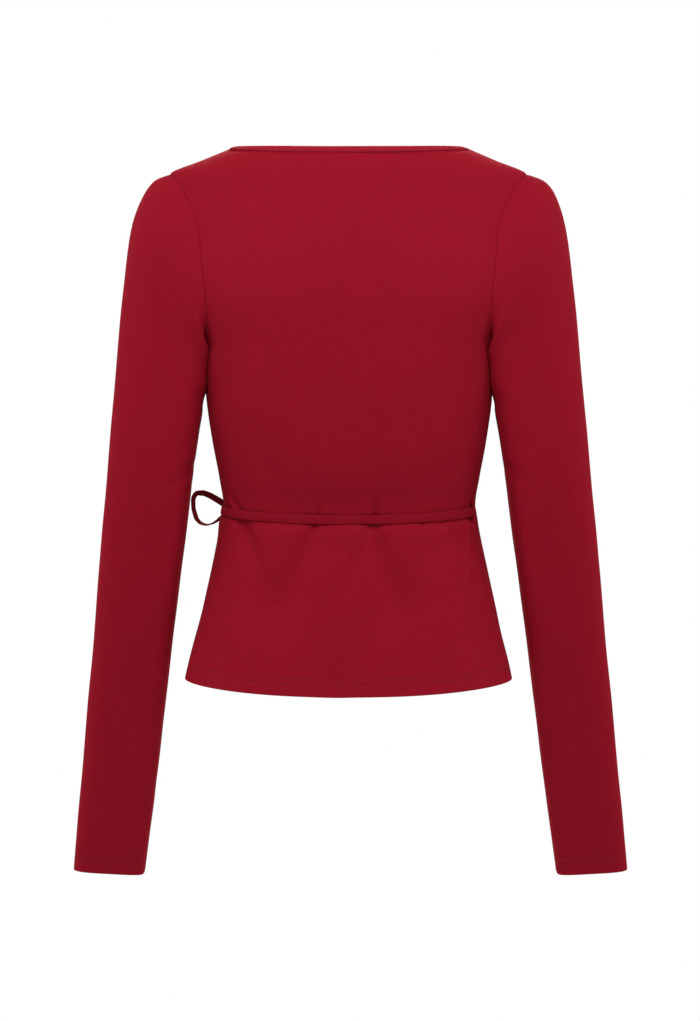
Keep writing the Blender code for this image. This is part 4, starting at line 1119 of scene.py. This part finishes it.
def back_cloth(material, thread):
    """The back, with its seams, puckers and hem."""
    flat, across = back_field(panel_rows())
    angle, level = np.moveaxis(wrapped(flat, 180.0), -1, 0)
    surface, way = panel_surface(angle, level, 0.0, BACK_CREASES, 1.0)
    from_top, from_bottom, from_left, from_right = edge_distances(surface)
    inside = np.minimum(across, 1.0 - across) - SHOULDER_KNOT
    at_neck = ease(inside / NECK_END)
    rise = tie_press(level, tie_level(angle))
    rise += (seam_roll(from_left) + seam_roll(from_right)) * seam_fade(level)
    rise += seam_roll(from_top) * (1.0 - at_neck) - neck_sink(from_top) * at_neck
    rise += stitched(from_bottom, HEM_LINES, flat[..., 0])
    surface = surface + way * rise[..., None]
    free = np.minimum(from_bottom, from_top + 1.0 - at_neck)
    seam = np.minimum.reduce((from_left, from_right, from_top + at_neck))
    outside, inside = walls(surface, way, free, seam, neck_tuck(from_top) * at_neck)
    mesh = cloth_mesh("back_cloth", outside, inside, flat, material)
    lines = lines_on(outside, way, from_bottom, HEM_LINES)
    sew(mesh, "back_panel", "back_hem_stitches", lines, thread, surface)


def front_cloth(node, outer, material, thread):
    """A front, with its seams, folds and hem."""
    name = node + "_cloth"
    rows = panel_rows()
    flat = front_field(outer, rows)
    angle, level = np.moveaxis(wrapped(flat, 0.0), -1, 0)
    if not outer:
        angle = -angle
        flat[..., 0] *= -1.0
    lift = outer_lift(angle) if outer else inner_lift(angle)
    surface, way = panel_surface(angle, level, lift, FRONT_CREASES, -1.0)
    from_top, from_bottom, from_seam, from_free = edge_distances(surface)
    on_neck = 1.0 - ease((rows[:, None] - ROW_KNOTS[2]) / FREE_NECK_END)
    rise = stitched(from_bottom, HEM_LINES, flat[..., 0]) + seam_roll(from_top)
    rise += seam_roll(from_seam) * seam_fade(level)
    rise += stitched(from_free, (FREE_EDGE_LINE,), level) * (1.0 - on_neck)
    rise -= neck_sink(from_free) * on_neck
    if not outer:
        rise += tie_press(level, tie_level(angle)) * ramp(angle, *INNER_TIE_FROM)
    surface = surface + way * rise[..., None]
    free = np.minimum(from_bottom, from_free)
    seam = np.minimum(from_seam, from_top)
    outside, inside = walls(surface, way, free, seam, neck_tuck(from_free) * on_neck)
    mesh = cloth_mesh(name, outside, inside, flat, material)
    below = rows > ROW_KNOTS[2] + 2.0 * FREE_NECK_END
    turned = [grid[below].transpose(1, 0, 2) for grid in (outside, way)]
    lines = lines_on(outside, way, from_bottom, HEM_LINES)
    lines += lines_on(*turned, from_free[below].T, (FREE_EDGE_LINE,))
    sew(mesh, node, name + "_stitches", lines, thread, surface)


# ---- sleeves

def squarer_outline():
    """Points round a unit outline like the sleeve's, fuller at its corners, at even distances."""
    quarter = SLEEVE_SIDES // 4
    outline = np.empty((SLEEVE_SIDES + 1, 2))
    for first, last, power in ((0, quarter, OUTER_POWER), (quarter, 3 * quarter, INNER_POWER),
                               (3 * quarter, SLEEVE_SIDES, OUTER_POWER)):
        turn = np.linspace(first, last, OUTLINE_SAMPLES) * 2.0 * math.pi / SLEEVE_SIDES
        dense = powered(np.stack((np.cos(turn), np.sin(turn)), axis=1), 2.0 / power)
        run = lengths_along(dense)
        even = np.linspace(0.0, run[-1], last - first + 1)
        outline[first:last + 1] = straight_columns(run, dense, even)
    return outline[:-1]


def sleeve_rings():
    """Outside points of the left sleeve in fine rows, and the ways out of it."""
    turn = full_turn(SLEEVE_SIDES)
    even = np.linspace(0.0, 1.0, SLEEVE_SIDES // 2 + 1)
    front = along(armhole_line(False), even)[::-1]
    hole = np.concatenate((along(armhole_line(True), even)[:-1], front[:-1]))
    places = figure(*hole.T)
    body_out = outward(*hole.T)
    course = unit(np.roll(places, -1, axis=0) - np.roll(places, 1, axis=0))
    seam_way = unit(np.cross(course, body_out))
    keys = np.arange(len(SLEEVE), dtype=float)
    dense = np.linspace(0.0, keys[-1], SLEEVE_SAMPLES)
    run = lengths_along(smooth_columns(keys, SLEEVE[:, :2], dense))
    shares = stations(run[-1], ROW_STEP, (), EDGE_ROWS, rows_near_lines(CUFF_LINES))
    down = shares * run[-1]
    sections = smooth_columns(keys, SLEEVE, np.interp(down, run, dense))[:, None, :]
    outer_x, outer_z, inner_x, inner_z, half_depth, centre_y, armhole = np.moveaxis(sections, -1, 0)
    top = np.stack((outer_x, centre_y, outer_z), axis=-1)
    low = np.stack((inner_x, centre_y, inner_z), axis=-1)
    depth = half_depth[..., None] * (0.0, 1.0, 0.0)
    round_outline = np.stack((np.cos(turn), np.sin(turn)), axis=1)
    fuller = squarer_outline() - round_outline
    outline = round_outline + fuller * ramp(down, *SQUARE_FROM)[:, None, None]
    rings = (top + low) / 2.0 + outline[..., :1] * (top - low) / 2.0 + outline[..., 1:] * depth
    rings = rings + (places - rings[0]) * armhole[..., None]
    rings[0] += body_out * (0.5 - 0.5 * np.cos(turn))[:, None] * UNDERARM_CLEAR
    round_way = np.roll(rings, -1, axis=1) - np.roll(rings, 1, axis=1)
    out = unit(np.cross(np.gradient(rings, axis=0), round_way))
    with_body = ramp(np.sum(out[0] * body_out, axis=1), *WITH_BODY)
    for row, near in enumerate(ramp(down, WITH_BODY_REACH, 0.0)):
        lean = np.maximum(np.sum(out[row] * seam_way, axis=1), 0.0) * near
        out[row] = unit(out[row] - seam_way * lean[:, None])
        out[row] = unit(out[row] + (body_out - out[row]) * (with_body * near)[:, None])
    return rings, out


def pressed(points, from_top):
    """The sleeve's inner side lies close against the side of the body below the underarm."""
    x, y, z = np.moveaxis(points, -1, 0)
    reach, power = torso_half(z, y <= 0.0)
    half = torso("half_width", z)
    side = half * np.clip(1.0 - np.abs(y / reach) ** power, 0.0, 1.0) ** (1.0 / power)
    lean = CONTACT_LEAN * ramp(x, *CONTACT_SIDE) * ramp(from_top, *CONTACT_SEAM)
    lean = lean * ramp(z, *CONTACT_TOP) * ramp(z, *CONTACT_END)
    touching = np.maximum(np.minimum(x, side + CONTACT_CLEAR), x - lean)
    return np.stack((np.where(lean > 0.0, touching, x), y, z), axis=-1)


def sleeve_cloth(name, node, side, swing, head, behind, before, material, thread):
    """A sleeve, with its cap seam, elbow folds and cuff hem."""
    rings, out = sleeve_rings()
    x, z = rings[..., 0], rings[..., 2]
    to_back = ramp(out[..., 1], *SLEEVE_TURNED)
    covered = 1.0 - ramp(x, *BARE_SIDE) * ramp(z, *BARE_LEVEL)
    rise = -crease_depth(x, z, behind) * to_back - crease_depth(x, z, before) * (1.0 - to_back)
    rise = (rise + slack(x + 0.1, z)) * covered
    from_top = lengths_along(rings)
    from_bottom = from_top[-1] - from_top
    ring_run = lengths_along(rings, axis=1)
    rise += seam_roll(from_top) * seam_fade(rings[:1, :, 2]) * covered
    rise += stitched(from_bottom, CUFF_LINES, ring_run)
    swell = bump(z - HEAD_LEVEL, HEAD_HALF) * ramp(from_top, 0.0, HEAD_REACH)
    rise += head * ramp(out[..., 0], *HEAD_SIDE) * swell
    surface = pressed(rings + out * rise[..., None], from_top)
    surface[..., 0] += swing * np.clip((SWING_TOP - z) / (SWING_TOP - SLEEVE[-1][1]), 0.0, 1.0)
    outside, inside = walls(surface, out, from_bottom, from_top + 1.0 - covered)
    mirror = (side, 1.0, 1.0)
    flat = np.stack((ring_run, -from_top), axis=-1)
    mesh = cloth_mesh(name, outside * mirror, inside * mirror, flat, material, closed=True)
    closed = np.arange(SLEEVE_SIDES + 1) % SLEEVE_SIDES
    whole = outside[:, closed] * mirror
    lines = lines_on(whole, out[:, closed] * mirror, from_bottom[:, closed], CUFF_LINES)
    sew(mesh, node, name + "_stitches", lines, thread, whole)


# ---- binding, tie and bow

def sideways(path, out):
    """Ways across a strip that runs along a path and faces out."""
    return unit(np.cross(unit(np.gradient(path, axis=0)), out))


def spaced_points(points):
    """A smooth curve through the points of a loop, at even distances."""
    run = lengths_along(points)
    return smooth_columns(run, points, np.linspace(0.0, run[-1], LOOP_ROWS))


def binding_cloth(material, thread):
    """The folded strip round the neckline, with its row of stitches."""
    middle = beside(neck_loop(), -BINDING_WIDTH / 2.0)
    angle, level = along(middle, np.linspace(0.0, 1.0, BINDING_SAMPLES)).T
    path = above(angle, level, neck_lift(angle) + BINDING_PROUD - BINDING_THICKNESS / 2.0)
    out = outward(angle, level)
    wide = sideways(path, out)
    ribbon("binding_cloth", path, wide, out, BINDING_WIDTH, BINDING_THICKNESS, material,
           "binding", "neck_binding", BINDING_CRINKLE)
    edge = path - wide * (BINDING_WIDTH / 2.0 - BINDING_LINE)
    edge = edge + out * (BINDING_THICKNESS * BINDING_LINE_HEIGHT)
    stitches("binding_stitches", [(edge, out)], thread, "binding")


def body_strip(name, node, angle, level, lift, material):
    """A flat tie that lies along the body."""
    path = above(angle, level, lift)
    out = outward(angle, level)
    tie_ribbon(name, path, sideways(path, out), out, material, node)


def tie_long(material):
    """From the inner front's corner, out of the slit, across the back and round to the knot."""
    slit = 360.0 - float(side_angle(TIE_SIDE))
    per_metre = float(degrees_for(1.0, slit, TIE_SIDE))
    start = slit + (INNER_CORNER_GAP - SEAM_GAP) * per_metre
    through = np.linspace(start, slit - SLIT_PAST * per_metre, TIE_SLIT_ROWS)
    rest = np.linspace(through[-1], KNOT_ANGLE + KNOT_REACH, TIE_ROWS)[1:]
    angle = np.concatenate((through, rest))
    on_top = TIE_THICKNESS / 2.0
    inside = -LAYER_STEP - MODEL_CLOTH / 2.0
    turn = SLIT_TURN * per_metre
    lift = inside + (on_top - inside) * ramp(angle, slit + turn, slit - turn)
    body_strip("tie_long_cloth", "tie_long", angle, tie_level(angle), lift, material)


def tie_short(material):
    """From the outer front's corner to the knot."""
    angle = np.linspace(OUTER_CORNER_ANGLE + CORNER_TURN, KNOT_ANGLE - KNOT_REACH, TIE_SHORT_ROWS)
    lift = outer_lift(angle) - MODEL_CLOTH / 2.0
    body_strip("tie_short_cloth", "tie_short", angle, tie_level(angle), lift, material)


def knot_cloth(material):
    """The knot: a wrapped band with the folds of its turns."""
    level = tie_level(KNOT_ANGLE)
    out = outward(KNOT_ANGLE, level)
    forward = unit(figure(KNOT_ANGLE - 1.0, level) - figure(KNOT_ANGLE + 1.0, level))
    up = unit(np.cross(forward, out))
    centre = figure(KNOT_ANGLE, level) + out * (TIE_CLEAR + KNOT_SIZE[1] / 2.0)
    tip = np.linspace(KNOT_TIP, math.pi - KNOT_TIP, KNOT_ROWS)[:, None]
    turn = full_turn(KNOT_SIDES)[None, :]
    ring = np.sin(tip) ** KNOT_END_POWER
    across = powered(np.cos(turn), KNOT_POWER) * ring
    proud = powered(np.sin(turn), KNOT_POWER) * ring
    height = np.broadcast_to(powered(np.cos(tip), KNOT_POWER), across.shape)
    fold = KNOT_UNEVEN * np.sin(9.0 * height + 3.0 * across)
    for place, slant, deep in KNOT_FOLDS:
        fold = fold + deep * bump(across - place - slant * height, KNOT_FOLD_HALF)
    swell = 1.0 - fold * ring
    vertices = (centre + (across * swell)[..., None] * forward * KNOT_SIZE[0] / 2.0
                + (proud * swell)[..., None] * out * KNOT_SIZE[1] / 2.0
                + height[..., None] * up * KNOT_SIZE[2] / 2.0)
    flat = np.stack((across * KNOT_SIZE[0], height * KNOT_SIZE[2]), axis=-1)
    faces = grid_faces(KNOT_ROWS, KNOT_SIDES, True)
    place_piece(new_mesh("knot_cloth", vertices, faces, material, flat), "tie", "bow_knot")


def loop_out(material):
    """The loop that stands out beside the waist."""
    table = spaced_points(LOOP_OUT)
    path = table[:, :3]
    tilt = np.radians(table[:, 3])[:, None]
    backward = np.array((0.0, 1.0, 0.0))
    wide = unit(np.cos(tilt) * backward + np.sin(tilt) * sideways(path, backward))
    tie_ribbon("loop_out_cloth", path, wide, sideways(path, wide), material, "bow_loop_out")


def loop_flat(material):
    """The loop that lies on the front, beside the knot."""
    angle, level = spaced_points(LOOP_FLAT).T
    path = above(angle, level, np.full(LOOP_ROWS, LOOP_FLAT_LIFT))
    out = sideways(path, outward(angle, level))
    tie_ribbon("loop_flat_cloth", path, -sideways(path, out), out, material, "bow_loop_flat")


def tail(name, node, shift, turn, length, material):
    """A tail that hangs from the knot over the front."""
    top = tie_level(KNOT_ANGLE) - KNOT_SIZE[2] / 2.0 - SEAM_GAP * 2.0
    start = KNOT_ANGLE + float(degrees_for(shift, KNOT_ANGLE, TIE_SIDE))
    level = np.linspace(top, top - length, TAIL_ROWS)
    share = (top - level) / length
    angle = start + (KNOT_ANGLE + turn - start) * ease(share)
    ripple = TAIL_RIPPLE * ease(share * 4.0) * (1.0 + np.sin(share * 9.0 + shift * 300.0))
    swell = np.maximum(tie_press(level, tie_level(angle)), 0.0)
    lift = TIE_CLEAR + TIE_THICKNESS / 2.0 + swell + ripple
    body_strip(name, node, angle, level, lift, material)


# ---- materials

class Nodes:
    """Adds shader nodes with their settings and inputs, and links them."""

    def __init__(self, owner):
        owner.use_nodes = True
        self.tree = owner.node_tree

    def feed(self, node, inputs):
        """Set or link inputs, which are named or numbered."""
        for key, value in inputs.items():
            if isinstance(value, bpy.types.NodeSocket):
                self.tree.links.new(value, node.inputs[key])
            else:
                node.inputs[key].default_value = value

    def add(self, kind, output, inputs=None, **settings):
        """A new node's output."""
        node = self.tree.nodes.new(kind)
        for name, value in settings.items():
            setattr(node, name, value)
        self.feed(node, inputs or {})
        return node.outputs[output]

    def math(self, operation, *values):
        """The output of a sum, with its values in order."""
        return self.add("ShaderNodeMath", 0, dict(enumerate(values)), operation=operation)

    def noise(self, place, scale, detail):
        """A flat cloudy pattern."""
        inputs = {"Vector": place, "Scale": scale, "Detail": detail}
        return self.add("ShaderNodeTexNoise", "Fac", inputs, noise_dimensions="2D")

    def tinted(self, colour, strength):
        """A colour made lighter or darker."""
        inputs = {0: colour[:3], "Scale": strength}
        return self.add("ShaderNodeVectorMath", 0, inputs, operation="SCALE")


def new_material(name, colour):
    """A new material, and a way to add to its nodes."""
    material = bpy.data.materials.new(name)
    material.diffuse_color = colour
    nodes = Nodes(material)
    return material, nodes, material.node_tree.nodes["Principled BSDF"]


def knit(name, colour):
    """Fine jersey: columns of small V stitches, faint streaks across them and a soft nap."""
    material, nodes, shader = new_material(name, colour)
    place = nodes.add("ShaderNodeUVMap", "UV", uv_map="cloth")
    split = nodes.add("ShaderNodeSeparateXYZ", "X", {0: place}).node.outputs
    wale = nodes.math("FRACT", nodes.math("DIVIDE", split["X"], WALE))
    centre = nodes.math("ABSOLUTE", nodes.math("SUBTRACT", wale, 0.5))
    legs = nodes.math("ABSOLUTE", nodes.math("SINE", nodes.math("MULTIPLY", wale, 2.0 * math.pi)))
    course = nodes.math("DIVIDE", split["Y"], COURSE)
    course = nodes.math("ADD", course, nodes.math("MULTIPLY", centre, V_SLOPE))
    loops = nodes.math("SINE", nodes.math("MULTIPLY", course, 2.0 * math.pi))
    stitch = nodes.math("MULTIPLY", legs, nodes.math("MULTIPLY_ADD", loops, 0.25, 0.75))
    stretched = nodes.add("ShaderNodeMapping", "Vector", {"Vector": place, "Scale": STREAKS})
    streak = nodes.noise(stretched, 1.0, 3.0)
    cloud = nodes.noise(place, CLOUDS, 2.0)
    nap = nodes.noise(place, NAP, 2.0)
    # The stitch term darkens the colour where the stitches' relief is low, as painted shade in the
    # knit's hollows; the streaks and clouds are the yarn's own uneven tone.
    textures = ((streak, 0.5, 0.20), (cloud, 0.5, 0.07), (stitch, 0.48, 0.24))
    parts = [nodes.math("MULTIPLY", nodes.math("SUBTRACT", texture, middle), strength)
             for texture, middle, strength in textures]
    tone_and_stitch_shade = parts[0]
    for part in (*parts[1:], 1.0):
        tone_and_stitch_shade = nodes.math("ADD", tone_and_stitch_shade, part)
    height = nodes.math("ADD", nodes.math("MULTIPLY", stitch, 0.8), nodes.math("MULTIPLY", nap, 0.45))
    relief = {"Height": height, "Strength": 0.45, "Distance": 0.00022}
    shader.inputs["Base Color"].default_value = colour
    nodes.feed(shader, {
        "Base Color": nodes.tinted(colour, tone_and_stitch_shade),
        "Roughness": nodes.math("ADD", nodes.math("MULTIPLY", nap, 0.16), 0.74),
        "Normal": nodes.add("ShaderNodeBump", "Normal", relief),
        "Specular IOR Level": 0.03,
        "Sheen Weight": 0.25,
        "Sheen Roughness": 0.45,
        "Sheen Tint": SHEEN_RED,
    })
    return material


def thread_material():
    """Sewing thread, a little darker than the cloth, with the twist of its plies."""
    material, nodes, shader = new_material("thread", THREAD_RED)
    place = nodes.add("ShaderNodeTexCoord", "Object")
    twist = nodes.add("ShaderNodeTexNoise", "Fac", {"Vector": place, "Scale": PLIES})
    colour = nodes.tinted(THREAD_RED, nodes.math("ADD", twist, 0.5))
    nodes.feed(shader, {"Base Color": colour, "Roughness": 0.55, "Specular IOR Level": 0.35})
    return material


# ---- stage, lights and camera

def build_floor():
    """A round pale floor."""
    turn = full_turn(FLOOR_SIDES)
    height = np.full(FLOOR_SIDES, FLOOR_LEVEL)
    rim = np.stack((np.cos(turn) * FLOOR_RADIUS, np.sin(turn) * FLOOR_RADIUS, height), axis=1)
    mesh = bpy.data.meshes.new("floor")
    mesh.from_pydata(rim.tolist(), [], [tuple(range(FLOOR_SIDES))])
    material, nodes, shader = new_material("floor", FLOOR_GREY)
    nodes.feed(shader, {"Base Color": FLOOR_GREY, "Roughness": 0.9})
    mesh.materials.append(material)
    add_object("floor", mesh)


def aim(thing, place, target):
    """Put a light or camera at a place, facing a target."""
    thing.location = place
    way = np.array(target, float) - np.array(place, float)
    flat = math.hypot(way[0], way[1])
    thing.rotation_euler = (math.atan2(flat, -way[2]), 0.0, math.atan2(-way[0], way[1]))


def build_studio():
    """Soft white light all round, a little stronger from above and the sides, and the camera."""
    scene = bpy.context.scene
    scene.view_settings.view_transform = "Standard"
    scene.world = bpy.data.worlds.new("studio")
    nodes = Nodes(scene.world)
    seen = nodes.add("ShaderNodeLightPath", "Is Camera Ray")
    level = nodes.math("MAXIMUM", seen, SKY_LEVEL)
    backdrop = scene.world.node_tree.nodes["Background"]
    nodes.feed(backdrop, {"Color": (1.0, 1.0, 1.0, 1.0), "Strength": level})
    for name, place, size, power in LIGHTS:
        light = bpy.data.lights.new(name, "AREA")
        light.shape = "RECTANGLE"
        light.size, light.size_y = size
        light.energy = power
        aim(add_object(name, light), place, LIGHT_AIM)
    lens = bpy.data.cameras.new("camera")
    lens.lens = CAMERA_LENS
    lens.sensor_width = 36.0
    lens.sensor_fit = "AUTO"
    scene.camera = add_object("camera", lens)
    aim(scene.camera, CAMERA_PLACE, CAMERA_AIM)


# ---- the whole top

KNOT_REACH = float(degrees_for(KNOT_SIZE[0] / 2.0 + SEAM_GAP, KNOT_ANGLE, TIE_SIDE))

build_studio()
build_floor()
jersey = knit("jersey_knit", JERSEY_RED)
binding = knit("binding_knit", BINDING_RED)
tie = knit("tie_knit", TIE_RED)
# The loop that stands out gets this darker copy of the tie's cloth as painted shade.
loop = knit("loop_shaded_knit", LOOP_SHADE_RED)
thread = thread_material()
back_cloth(jersey, thread)
front_cloth("front_outer", True, jersey, thread)
front_cloth("front_inner", False, jersey, thread)
for sleeve in SLEEVES:
    sleeve_cloth(*sleeve, jersey, thread)
binding_cloth(binding, thread)
tie_long(tie)
tie_short(tie)
knot_cloth(tie)
loop_out(loop)
loop_flat(tie)
for hanging in TAILS:
    tail(*hanging, tie)
